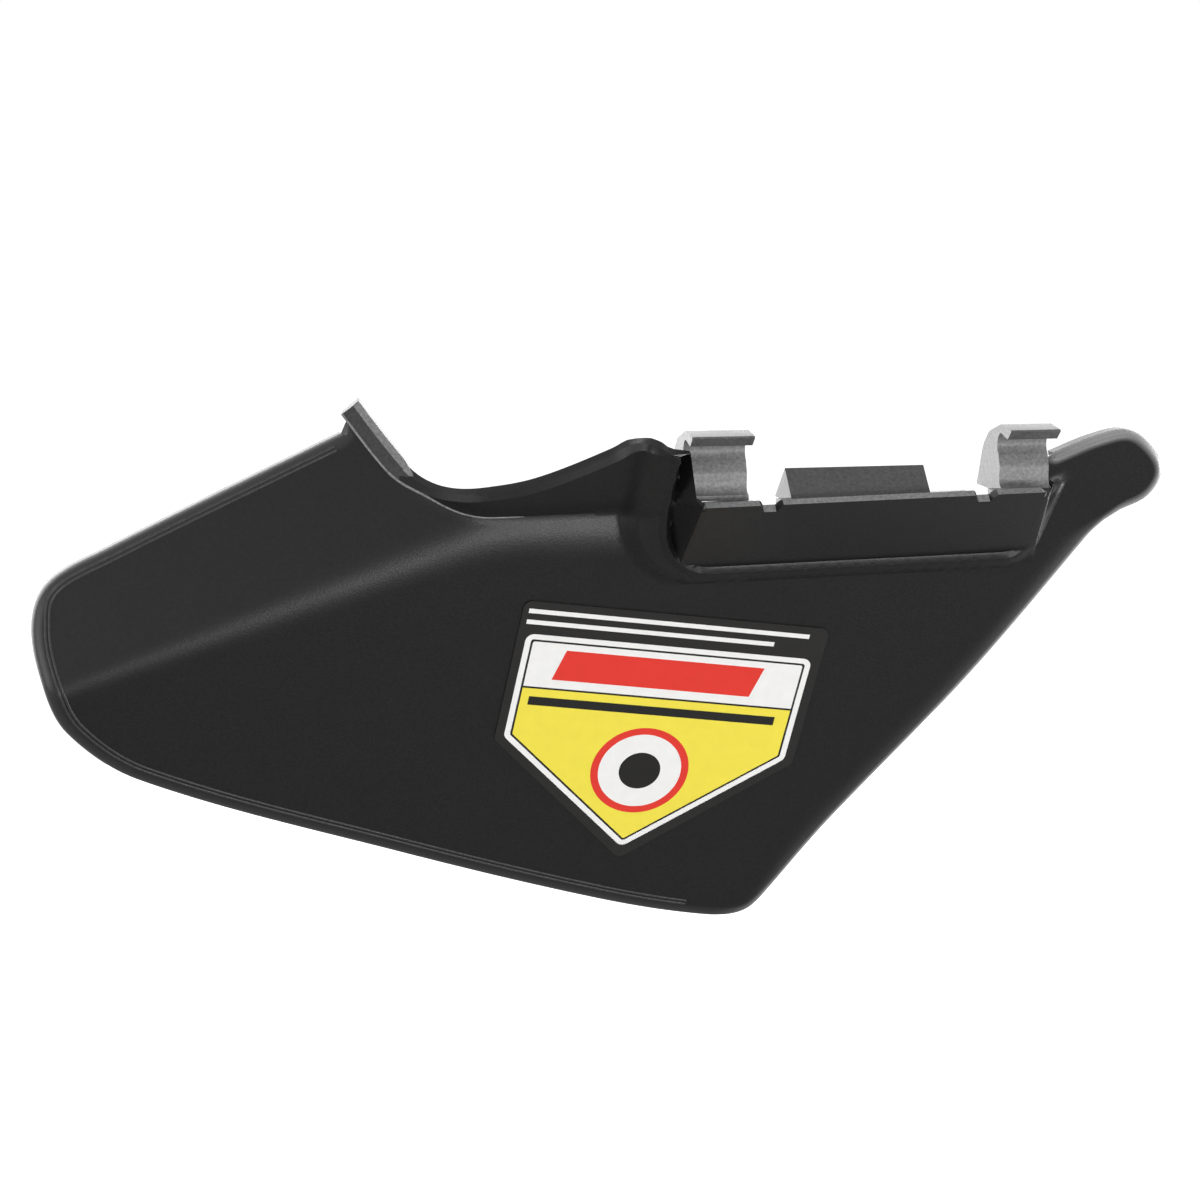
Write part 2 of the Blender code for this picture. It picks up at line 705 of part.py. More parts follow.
def hook_tools(name, left, right):
    """One hook: a curved wall open to the outside, and a web at each end of it."""
    inner = hook_inner_line()
    lip = [(LIP_TIP_Y, LIP_TIP_Z)]
    crown = arc(HOOK_TOP_RADIUS, 90.0, 0.0, 6)
    wall_foot = [(HOOK_BUMP_Y + HOOK_WALL + 3.0 * MM, HOOK_BUMP_Z), (HOOK_WALL + 2.0 * MM, HOOK_BASE_Z)]
    shell = prism(name + "_wall", inner + lip + crown + wall_foot, left + 0.1 * MM, right - 0.1 * MM)
    back = [(WEB_SHOULDER_Y - 6.0 * MM, 3.6 * MM), (WEB_SHOULDER_Y, WEB_SHOULDER_Z)]
    foot = [(WEB_BACK_Y, HOOK_BASE_Z)]
    outline = inner + lip + arc(HOOK_TOP_RADIUS, 90.0, 62.0, 3) + back + foot
    webs = (
        prism(name + "_web_left", outline, left, left + WEB_WALL),
        prism(name + "_web_right", outline, right - WEB_WALL, right),
    )
    return [shell, *webs]


def tab_tools():
    """The stop tab: a sloped plate and a triangular wall at each end."""
    plate = [
        (TAB_FOOT_Y, TAB_FOOT_Z),
        (TAB_APEX_Y, TAB_APEX_Z),
        (TAB_APEX_Y + TAB_WALL, TAB_APEX_Z - TAB_WALL),
        (TAB_FOOT_Y + 2.0 * TAB_WALL, TAB_FOOT_Z),
    ]
    wall = [
        (TAB_FOOT_Y, TAB_FOOT_Z),
        (TAB_APEX_Y, TAB_APEX_Z),
        (TAB_BACK_Y, TAB_FOOT_Z),
    ]
    left = TAB_LEFT_X
    right = TAB_RIGHT_X
    tools = [prism("tab_plate", plate, left + 0.2 * MM, right - 0.2 * MM)]
    tools.append(prism("tab_wall_left", wall, left, left + TAB_WALL))
    tools.append(prism("tab_wall_right", wall, right - TAB_WALL, right))
    return tools


def ledge_profile(top, under):
    """The (y, z) corners of a stretch of the ledge, its front just inside the flange's outer face."""
    front = RIM_Y + LEDGE_INSET
    back = RIM_Y + LEDGE_DEPTH
    front_top = front + AWNING_LEAN * max(RIM_Z - top, 0.0)
    front_under = front + AWNING_LEAN * (RIM_Z - under)
    return [(front_under, under), (front_top, top), (back, top), (back, under)]


def ledge_tools():
    """The ledge behind the rim, stepped down at the notches, that the hooks and the tab stand on."""
    floor = RIM_Z - NOTCH_DEPTH
    under = floor - LEDGE_WALL
    left = RIM_LEFT_X + LEDGE_END_GAP
    right = RIM_RIGHT_X - LEDGE_END_GAP
    notches = sorted(NOTCH_CENTRES_X)
    half = 0.5 * NOTCH_WIDTH
    starts = [left + LEDGE_INSET] + [centre + half for centre in notches]
    ends = [centre - half for centre in notches] + [right - LEDGE_INSET]
    low = ledge_profile(floor + LEDGE_STEP, under)
    high = ledge_profile(RIM_Z + LEDGE_RISE, floor - LEDGE_STEP)
    tools = [prism("ledge_floor", low, left, right)]
    return tools + [prism(f"ledge_{i}", high, *span) for i, span in enumerate(zip(starts, ends))]


def lip_tool():
    """The lip on the upper end of the collar, swept along its rim until it dies into it."""
    rim = collar_rim()
    outward = -left_normals(rim)
    chosen = rim[:, 0] < LIP_END_X
    path = rim[chosen]
    growth = smooth_step(np.linspace(0.0, LIP_GROWTH, len(path)))
    sizes = (LIP_BANDS, LIP_FRONTS, LIP_SIDES, LIP_FLARES, LIP_DEPTHS, LIP_ROOTS)
    levels = np.column_stack([end + (full - end) * growth for full, end in sizes])
    front = surface_y(path[:, 0], path[:, 1])
    mesh = bmesh.new()
    rows = []
    for (x, z), (out_x, out_z), y, level in zip(path, outward[chosen], front, levels):
        band, face, side, flare, depth, root = level
        section = [(-band, face), (side, face), (flare, depth), (flare - LIP_WALL, depth), (-band, root)]
        rows.append([mesh.verts.new((x + out_x * out, y + deep, z + out_z * out)) for out, deep in section])
    for row, after in zip(rows[:-1], rows[1:]):
        for k in range(len(row)):
            following = (k + 1) % len(row)
            mesh.faces.new((row[k], row[following], after[following], after[k]))
    mesh.faces.new(rows[0])
    mesh.faces.new(list(reversed(rows[-1])))
    bmesh.ops.recalc_face_normals(mesh, faces=mesh.faces)
    return as_helper(new_object("collar_lip", mesh))


def principled(name, colour, roughness):
    material = bpy.data.materials.new(name)
    material.use_nodes = True
    shader = material.node_tree.nodes["Principled BSDF"]
    shader.inputs["Base Color"].default_value = colour
    shader.inputs["Roughness"].default_value = roughness
    shader.inputs["Metallic"].default_value = 0.0
    material.diffuse_color = colour
    return material


def place_hood(made):
    """Turns and lowers a piece of the hood against the hinge rod."""
    made.rotation_euler.y = -HOOD_TURN
    made.location.z = -HOOD_DROP


def build_moulding():
    """The hood with its hooks, tab, ledge and lip, as one closed body."""
    plastic = principled("black_plastic", PLASTIC_COLOUR, PLASTIC_ROUGHNESS)
    moulding = new_object("chute_moulding", hood_mesh(), plastic)
    place_hood(moulding)
    ledges = ledge_tools()
    lip = lip_tool()
    for tool in [*ledges, lip]:
        place_hood(tool)
    join(moulding, ledges + tab_tools())
    # The exact solver loses the hood where the lip and the hooks' shared profiles meet it.
    hooks = hook_tools("hook_rear", REAR_HOOK_LEFT_X, REAR_HOOK_RIGHT_X)
    hooks += hook_tools("hook_front", FRONT_HOOK_LEFT_X, FRONT_HOOK_RIGHT_X)
    join(moulding, [lip, *hooks], solver="MANIFOLD")
    return moulding


def house_outline():
    """The sticker's corners, from its upper left corner, across and down, all rounded."""
    corners = [
        (0.0, 0.0),
        (0.0, -STICKER_SIDE),
        (0.5 * STICKER_WIDTH, -STICKER_HEIGHT),
        (STICKER_WIDTH, -STICKER_SIDE),
        (STICKER_WIDTH, 0.0),
    ]
    start = (0.5 * STICKER_WIDTH, 0.0)
    path = rounded_path([start, *corners, start], [STICKER_RADIUS] * len(corners), math.radians(15.0))
    return path[:-1]


def build_sticker():
    """The sticker's film, lying just off the flat of the side panel."""
    film = principled("sticker_film", STICKER_COLOUR, STICKER_ROUGHNESS)
    lean = math.hypot(1.0, PANEL_TILT)
    normal = Vector((0.0, -1.0, -PANEL_TILT)) / lean
    across = Vector((math.cos(STICKER_TURN), 0.0, 0.0))
    up = Vector((0.0, -PANEL_TILT, 1.0)) / lean
    right = across + up * math.sin(STICKER_TURN)
    above = Vector((-math.sin(STICKER_TURN), 0.0, 0.0)) + up * math.cos(STICKER_TURN)
    corner = Vector((STICKER_LEFT_X, PANEL_Y - PANEL_TILT * STICKER_TOP_Z, STICKER_TOP_Z))
    mesh = bmesh.new()
    base = corner + normal * STICKER_GAP
    face = mesh.faces.new([mesh.verts.new(base + right * u + above * v) for u, v in house_outline()])
    grown = bmesh.ops.extrude_face_region(mesh, geom=[face])["geom"]
    raised = [vert for vert in grown if isinstance(vert, bmesh.types.BMVert)]
    bmesh.ops.translate(mesh, verts=raised, vec=normal * STICKER_FILM)
    bmesh.ops.recalc_face_normals(mesh, faces=mesh.faces)
    sticker = new_object("sticker", mesh, film)
    place_hood(sticker)
    return sticker


def main():
    clear_scene()
    build_moulding()
    build_sticker()


if __name__ == "__main__":
    main()
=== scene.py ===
"""Dressed model of a side discharge chute: one black moulded hood with its hooks, and a sticker."""

import logging
import math
from collections.abc import Sequence
from dataclasses import dataclass, field, replace
from enum import Enum

import bmesh
import bpy
import numpy as np
from mathutils import Matrix, Vector
from mathutils.geometry import delaunay_2d_cdt
from mathutils.kdtree import KDTree


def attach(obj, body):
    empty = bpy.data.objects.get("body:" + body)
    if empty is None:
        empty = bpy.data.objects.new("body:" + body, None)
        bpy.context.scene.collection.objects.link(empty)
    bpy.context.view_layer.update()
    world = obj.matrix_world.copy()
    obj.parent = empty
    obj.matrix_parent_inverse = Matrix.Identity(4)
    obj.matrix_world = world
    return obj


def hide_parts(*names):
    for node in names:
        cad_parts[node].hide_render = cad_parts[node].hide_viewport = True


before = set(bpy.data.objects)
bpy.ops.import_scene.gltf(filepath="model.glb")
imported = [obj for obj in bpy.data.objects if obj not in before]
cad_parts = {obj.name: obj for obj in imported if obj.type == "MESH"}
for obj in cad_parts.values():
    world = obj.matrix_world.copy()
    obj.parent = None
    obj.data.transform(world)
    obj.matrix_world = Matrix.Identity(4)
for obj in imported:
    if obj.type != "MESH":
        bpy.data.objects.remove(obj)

log = logging.getLogger("chute")

MM = 0.001
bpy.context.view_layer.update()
HOOD_TURN = math.radians(1.2)
HOOD_DROP = 1.0 * MM
PAINTED_EDGE_HIGHLIGHT = "painted_edge_highlight"

Path = np.ndarray
Grid = np.ndarray
Point = tuple[float, float]
Place = tuple[float, float, float]
Colour = tuple[float, float, float]


class Sheen(Enum):
    """How glossy a finish is, as the roughness of its surface."""

    MOULDED = 0.42
    PRINTED = 0.3


class Plastic(Enum):
    """The finishes of the moulding: the name, the colour and the specular level of each; all but the black
    are painted light.
    """

    BLACK = ("black_plastic", (0.0062, 0.0062, 0.0064), 0.36)
    # Painted light: a lighter copy of the black plastic for the collar lip's band, standing in for the light
    # it catches.
    SATIN = ("painted_dim_plastic", (0.032, 0.032, 0.033), 0.4)
    # Painted highlight: a much lighter copy of the black plastic for the hooks, the rim strip, the ledge,
    # the lip's return and the collar's line, standing in for the strong light on them.
    RUBBED = ("painted_bright_plastic", (0.17, 0.17, 0.172), 0.35)
    # Painted highlight: a lighter copy of the black plastic for the raised hem lines, standing in for the
    # light lines along them.
    WORN = ("painted_lines_plastic", (0.03, 0.03, 0.03), 0.36)
    # Painted light: a lighter copy of the black plastic for the stop tab, standing in for the light it
    # catches.
    TAB = ("tab_plastic", (0.055, 0.055, 0.056), 0.36)
    # Painted light: a lighter copy of the black plastic for the tops of the hooks' lips and crowns, toned
    # for how brightly these tops are lit.
    LIP = ("lip_plastic", (0.085, 0.085, 0.086), 0.36)


class Print(Enum):
    """The inks of the sticker, in the order of its material slots."""

    BACKING = 0
    WHITE = 1
    KEYLINE = 2
    YELLOW = 3
    RED = 4


def hood_place() -> Matrix:
    """Gives the turn and drop of the hood against the hinge rod."""
    return Matrix.Translation((0.0, 0.0, -HOOD_DROP)) @ Matrix.Rotation(-HOOD_TURN, 4, "Y")


def smooth_max(a: Grid, b: Grid, blend: float | Grid) -> Grid:
    """Takes the larger of two depths, with the fold between them rounded.

    Args:
        a: One depth.
        b: The other depth.
        blend: How far apart the two may be for the fold to be rounded.

    Returns:
        The joined depth.
    """
    near = np.clip(1.0 - np.abs(a - b) / blend, 0.0, 1.0)
    return np.maximum(a, b) + 0.25 * blend * near**2


def smooth_min(a: Grid, b: Grid, blend: float | Grid) -> Grid:
    """Takes the smaller of two depths, with the fold between them rounded."""
    return -smooth_max(-a, -b, blend)


def smooth_step(value: Grid) -> Grid:
    """Eases a share from 0 to 1 as the value does."""
    share = np.clip(value, 0.0, 1.0)
    return share * share * (3.0 - 2.0 * share)


def rounded_path(corners: Sequence[Point], radii: Sequence[float], step: float = math.radians(6.0)) -> Path:
    """Rounds the inner corners of a run of straight lines.

    Args:
        corners: The corners, the first and last of which stay.
        radii: One radius for each inner corner.
        step: The turn between two points of an arc.

    Returns:
        The points of the rounded path.
    """
    points = [Vector(corners[0])]
    for i, radius in enumerate(radii, start=1):
        corner = Vector(corners[i])
        before = (Vector(corners[i - 1]) - corner).normalized()
        after = (Vector(corners[i + 1]) - corner).normalized()
        half = 0.5 * before.angle(after)
        centre = corner + (before + after).normalized() * (radius / math.sin(half))
        start = corner + before * (radius / math.tan(half)) - centre
        sweep = (corner + after * (radius / math.tan(half)) - centre).angle_signed(start)
        count = max(2, round(abs(sweep) / step))
        for k in range(count + 1):
            turned = start.copy()
            turned.rotate(Matrix.Rotation(sweep * k / count, 2))
            points.append(centre + turned)
    points.append(Vector(corners[-1]))
    return np.array([tuple(point) for point in points])


def spline(points: Sequence[Point], step: float) -> Path:
    """Runs a smooth curve through points given in millimetres.

    Args:
        points: The points that the curve passes, in millimetres.
        step: The distance between two points of the result, in metres.

    Returns:
        The points of the curve, in metres.
    """
    passed = np.array(points, float) * MM
    padded = np.vstack([2 * passed[0] - passed[1], passed, 2 * passed[-1] - passed[-2]])
    curve = []
    for i in range(1, len(padded) - 2):
        before, start, end, after = padded[i - 1 : i + 3]
        length = np.linalg.norm(end - start)
        pull_in = (end - before) * length / max(np.linalg.norm(end - before), 1e-9)
        pull_out = (after - start) * length / max(np.linalg.norm(after - start), 1e-9)
        for t in np.arange(0.0, 1.0, 1.0 / max(1, round(length / step))):
            a = 2 * t**3 - 3 * t**2 + 1
            b = t**3 - 2 * t**2 + t
            c = -2 * t**3 + 3 * t**2
            d = t**3 - t**2
            curve.append(a * start + b * pull_in + c * end + d * pull_out)
    curve.append(padded[-2])
    return np.array(curve)


def divided(points: Path, step: float) -> Path:
    """Splits the long runs of a path.

    Args:
        points: The path's points.
        step: About how long each piece gets.

    Returns:
        The path with its new points.
    """
    pieces = []
    for start, end in zip(points[:-1], points[1:]):
        count = max(1, round(np.linalg.norm(end - start) / step))
        pieces += [start + (end - start) * k / count for k in range(count)]
    pieces.append(points[-1])
    return np.array(pieces)


def left_normals(path: Path) -> Path:
    """Finds the directions to the left of a path.

    Args:
        path: The path's points.

    Returns:
        One unit normal for each point.
    """
    tangents = np.gradient(path, axis=0)
    tangents /= np.linalg.norm(tangents, axis=1)[:, None]
    return np.column_stack([-tangents[:, 1], tangents[:, 0]])


def signed_distance(x: Grid, z: Grid, path: Path) -> Grid:
    """Measures the distance to an open path, positive on its left side.

    Args:
        x: Places along X.
        z: Places along Z.
        path: The path's points.

    Returns:
        The signed distance of each place.
    """
    best = np.full(np.shape(x), np.inf)
    side = np.ones(np.shape(x))
    for start, end in zip(path[:-1], path[1:]):
        run = end - start
        t = np.clip(((x - start[0]) * run[0] + (z - start[1]) * run[1]) / run.dot(run), 0.0, 1.0)
        away_x = x - start[0] - t * run[0]
        away_z = z - start[1] - t * run[1]
        distance = np.hypot(away_x, away_z)
        nearer = distance < best
        best = np.where(nearer, distance, best)
        side = np.where(nearer, np.where(run[0] * away_z - run[1] * away_x >= 0.0, 1.0, -1.0), side)
    return best * side


def path_frame(x: Grid, z: Grid, path: Path) -> tuple[Grid, Grid, Grid]:
    """Finds the nearest point of a path.

    Args:
        x: Places along X.
        z: Places along Z.
        path: The path's points.

    Returns:
        The distance without sign, and the two parts of the path's left normal there.
    """
    normals = left_normals(path)
    best = np.full(x.shape, np.inf)
    normal_x = np.zeros(x.shape)
    normal_z = np.zeros(x.shape)
    for start, end, first, last in zip(path[:-1], path[1:], normals[:-1], normals[1:]):
        run = end - start
        t = np.clip(((x - start[0]) * run[0] + (z - start[1]) * run[1]) / run.dot(run), 0.0, 1.0)
        distance = np.hypot(x - start[0] - t * run[0], z - start[1] - t * run[1])
        nearer = distance < best
        best = np.where(nearer, distance, best)
        normal_x = np.where(nearer, first[0] + t * (last[0] - first[0]), normal_x)
        normal_z = np.where(nearer, first[1] + t * (last[1] - first[1]), normal_z)
    return best, normal_x, normal_z


def inset_rings(edge: Path, distances: Sequence[float], kept: float = 0.97) -> list[Path]:
    """Moves an edge inward, keeping the stretches that stay at their distance.

    Args:
        edge: The edge, with its inside on the left.
        distances: How far in each ring lies.
        kept: The share of its distance that a ring's point has to keep.

    Returns:
        The stretches of the rings.
    """
    inward = left_normals(edge)
    rings = []
    for distance in distances:
        moved = edge + inward * distance
        clear = path_frame(moved[:, 0], moved[:, 1], edge)[0] > kept * distance
        breaks = np.flatnonzero(np.diff(clear.astype(int))) + 1
        for stretch, keep in zip(np.split(moved, breaks), np.split(clear, breaks)):
            if keep[0] and len(stretch) > 1:
                rings.append(stretch)
    return rings


def finished(name: str, mesh: bmesh.types.BMesh, sharp: float = 35.0) -> bpy.types.Object:
    """Turns a bmesh into an object at the origin, shaded smooth but for its sharp edges.

    Args:
        name: The piece's name.
        mesh: Its mesh, which is freed.
        sharp: The angle between faces, in degrees, past which an edge stays sharp.

    Returns:
        The new object.
    """
    data = bpy.data.meshes.new(name)
    mesh.to_mesh(data)
    mesh.free()
    data.shade_smooth()
    data.set_sharp_from_angle(angle=math.radians(sharp))
    piece = bpy.data.objects.new(name, data)
    bpy.context.scene.collection.objects.link(piece)
    return piece


def baked(piece: bpy.types.Object) -> bpy.types.Object:
    """Replaces a piece's modifiers by the plain mesh that they give.

    Args:
        piece: The piece, with its modifiers.

    Returns:
        The same piece without them.
    """
    graph = bpy.context.evaluated_depsgraph_get()
    graph.update()
    plain = bpy.data.meshes.new_from_object(piece.evaluated_get(graph))
    piece.modifiers.clear()
    piece.data = plain
    return piece


def rounded(piece: bpy.types.Object, width: float, past: float, harden: bool = False) -> bpy.types.Object:
    """Rounds the edges of a piece.

    Args:
        piece: The piece.
        width: The width of the rounded edges.
        past: The angle between faces, in degrees, past which an edge is rounded.
        harden: Whether the faces beside an edge keep their flat shading.

    Returns:
        The same piece as a plain mesh.
    """
    rounding = piece.modifiers.new("Rounded edges", "BEVEL")
    rounding.width = width
    rounding.segments = 3
    rounding.limit_method = "ANGLE"
    rounding.angle_limit = math.radians(past)
    rounding.harden_normals = harden
    return baked(piece)


def prism(name: str, profile: Sequence[Point], left: float, right: float) -> bpy.types.Object:
    """Builds a closed prism along X.

    Args:
        name: The object's name.
        profile: The (y, z) corners of its ends.
        left: Where it starts along X.
        right: Where it ends along X.

    Returns:
        The prism.
    """
    mesh = bmesh.new()
    near = [mesh.verts.new((left, y, z)) for y, z in profile]
    face = mesh.faces.new(near)
    grown = bmesh.ops.extrude_face_region(mesh, geom=[face])["geom"]
    far = [vert for vert in grown if isinstance(vert, bmesh.types.BMVert)]
    bmesh.ops.translate(mesh, verts=far, vec=(right - left, 0.0, 0.0))
    bmesh.ops.recalc_face_normals(mesh, faces=mesh.faces)
    return finished(name, mesh)


def united(name: str, parts: Sequence[bpy.types.Object], bevel: float) -> bpy.types.Object:
    """Unions prisms into one body and rounds its edges.

    Args:
        name: The piece's name.
        parts: The prisms, all but the first of which are removed.
        bevel: The width of the rounded edges.

    Returns:
        The finished piece.
    """
    first, *others = parts
    for other in others:
        union = first.modifiers.new("Union", "BOOLEAN")
        union.operation = "UNION"
        union.solver = "MANIFOLD"
        union.object = other
    baked(first)
    for other in others:
        bpy.data.objects.remove(other, do_unlink=True)
    mesh = bmesh.new()
    mesh.from_mesh(first.data)
    bpy.data.objects.remove(first, do_unlink=True)
    bmesh.ops.remove_doubles(mesh, verts=mesh.verts, dist=0.01 * MM)
    bmesh.ops.dissolve_limit(mesh, angle_limit=math.radians(1.0), verts=mesh.verts, edges=mesh.edges)
    return rounded(finished(name, mesh, sharp=50.0), bevel, 38.0, harden=True)


class FinishTree:
    """The node tree of one finish, with its patterns on Object coordinates."""

    def __init__(self, name: str, colour: Colour) -> None:
        """Starts the material.

        Args:
            name: Its name.
            colour: Its plain colour.
        """
        self.made = bpy.data.materials.new(name)
        self.made.use_nodes = True
        self.made.diffuse_color = (*colour, 1.0)
        self.colour = colour
        self.nodes, self.links = self.made.node_tree.nodes, self.made.node_tree.links
        self.shader = self.nodes["Principled BSDF"]
        self.place = self.nodes.new("ShaderNodeTexCoord").outputs["Object"]

    def pattern(self, kind: str, result: str, sizes: dict[str, float]) -> bpy.types.NodeSocket:
        """Adds a texture.

        Args:
            kind: The type of its node.
            result: The name of the output to use.
            sizes: The node's inputs by name.

        Returns:
            The output.
        """
        node = self.nodes.new(kind)
        for socket, value in sizes.items():
            node.inputs[socket].default_value = value
        self.links.new(self.place, node.inputs["Vector"])
        return node.outputs[result]

    def tones(self, pattern: bpy.types.NodeSocket, span: Point, shades: Point) -> bpy.types.NodeSocket:
        """Varies the plain colour by a pattern.

        Args:
            pattern: The pattern.
            span: The pattern's values at the darkest and at the lightest tone.
            shades: Those two tones as shares of the plain colour.

        Returns:
            The varied colour.
        """
        tone = self.nodes.new("ShaderNodeValToRGB")
        for i, (position, shade) in enumerate(zip(span, shades)):
            tone.color_ramp.elements[i].position = position
            tone.color_ramp.elements[i].color = (*(shade * part for part in self.colour), 1.0)
        self.links.new(pattern, tone.inputs["Fac"])
        return tone.outputs["Color"]

    def roughen(self, pattern: bpy.types.NodeSocket, span: Point, roughness: Point) -> None:
        """Varies the roughness by a pattern.

        Args:
            pattern: The pattern.
            span: The pattern's values at the least and at the most roughness.
            roughness: The least and the most roughness.
        """
        ranged = self.nodes.new("ShaderNodeMapRange")
        for socket, value in zip(("From Min", "From Max", "To Min", "To Max"), (*span, *roughness)):
            ranged.inputs[socket].default_value = value
        self.links.new(pattern, ranged.inputs["Value"])
        self.links.new(ranged.outputs["Result"], self.shader.inputs["Roughness"])

    def raise_bumps(self, height: bpy.types.NodeSocket, strength: float, depth: float) -> None:
        """Bumps the surface by a pattern.

        Args:
            height: The pattern.
            strength: How strong the bumps are.
            depth: How deep they are.
        """
        bump = self.nodes.new("ShaderNodeBump")
        bump.inputs["Strength"].default_value = strength
        bump.inputs["Distance"].default_value = depth
        self.links.new(height, bump.inputs["Height"])
        self.links.new(bump.outputs["Normal"], self.shader.inputs["Normal"])


@dataclass(frozen=True)
class MouldedPlastic:
    """Black moulded plastic with a fine grain, faint mottling, and a painted highlight that lightens its
    edges.
    """

    name: str
    colour: Colour
    specular: float
    sheen: Sheen = Sheen.MOULDED
    # The light grey that the edges are painted towards, as a painted highlight of grazing light.
    worn: Colour = (0.3, 0.3, 0.3)
    grain_size: float = 1.1 * MM
    grain_detail: Point = (2.5, 0.62)
    grain_depth: float = 0.05 * MM
    grain_strength: float = 0.55
    grain_span: Point = (0.3, 0.72)
    grain_tones: Point = (0.72, 1.35)
    pits_per_grain: float = 1.6
    mottle_size: float = 14.0 * MM
    mottle_detail: float = 4.0
    mottle_span: Point = (0.3, 0.7)
    mottle_sheen: Point = (-0.01, 0.02)

    def material(self) -> bpy.types.Material:
        """Builds the node material.

        Returns:
            The material, with its grain on Object coordinates.
        """
        tree = FinishTree(self.name, self.colour)
        tree.shader.inputs["Specular IOR Level"].default_value = self.specular
        detail, roughness = self.grain_detail
        sizes = {"Scale": 1.0 / self.grain_size, "Detail": detail, "Roughness": roughness}
        grain = tree.pattern("ShaderNodeTexNoise", "Fac", sizes)
        sizes = {"Scale": self.pits_per_grain / self.grain_size}
        pits = tree.pattern("ShaderNodeTexVoronoi", "Distance", sizes)
        sizes = {"Scale": 1.0 / self.mottle_size, "Detail": self.mottle_detail}
        mottle = tree.pattern("ShaderNodeTexNoise", "Fac", sizes)

        # Painted highlight: the edge attribute mixes the base colour towards the light grey, standing in for
        # grazing light on the rolled edges.
        painted_highlight = tree.nodes.new("ShaderNodeAttribute")
        painted_highlight.attribute_name = PAINTED_EDGE_HIGHLIGHT
        mixed = tree.nodes.new("ShaderNodeMix")
        mixed.data_type = "RGBA"
        plain, worn = [socket for socket in mixed.inputs if socket.type == "RGBA"]
        worn.default_value = (*self.worn, 1.0)
        tree.links.new(painted_highlight.outputs["Fac"], mixed.inputs["Factor"])
        tree.links.new(tree.tones(grain, self.grain_span, self.grain_tones), plain)
        result = next(socket for socket in mixed.outputs if socket.type == "RGBA")
        tree.links.new(result, tree.shader.inputs["Base Color"])

        least, most = self.mottle_sheen
        tree.roughen(mottle, self.mottle_span, (self.sheen.value + least, self.sheen.value + most))
        height = tree.nodes.new("ShaderNodeMath")
        height.operation = "ADD"
        tree.links.new(grain, height.inputs[0])
        tree.links.new(pits, height.inputs[1])
        tree.raise_bumps(height.outputs["Value"], self.grain_strength, self.grain_depth)
        return tree.made


@dataclass(frozen=True)
class PrintedFilm:
    """One ink of the sticker, on a film that follows the panel's grain a little."""

    ink: Print
    colour: Colour
    sheen: Sheen = Sheen.PRINTED
    scale: float = 260.0
    detail: float = 3.0
    tone_span: Point = (0.35, 0.65)
    tones: Point = (0.965, 1.0)
    dulling: float = 0.12
    depth: float = 0.05 * MM
    strength: float = 0.15

    def material(self) -> bpy.types.Material:
        """Builds the node material.

        Returns:
            The material, with its faint unevenness on Object coordinates.
        """
        tree = FinishTree("sticker_" + self.ink.name.lower(), self.colour)
        uneven = tree.pattern("ShaderNodeTexNoise", "Fac", {"Scale": self.scale, "Detail": self.detail})
        tree.links.new(tree.tones(uneven, self.tone_span, self.tones), tree.shader.inputs["Base Color"])
        tree.roughen(uneven, (0.0, 1.0), (self.sheen.value, self.sheen.value + self.dulling))
        tree.raise_bumps(uneven, self.strength, self.depth)
        return tree.made


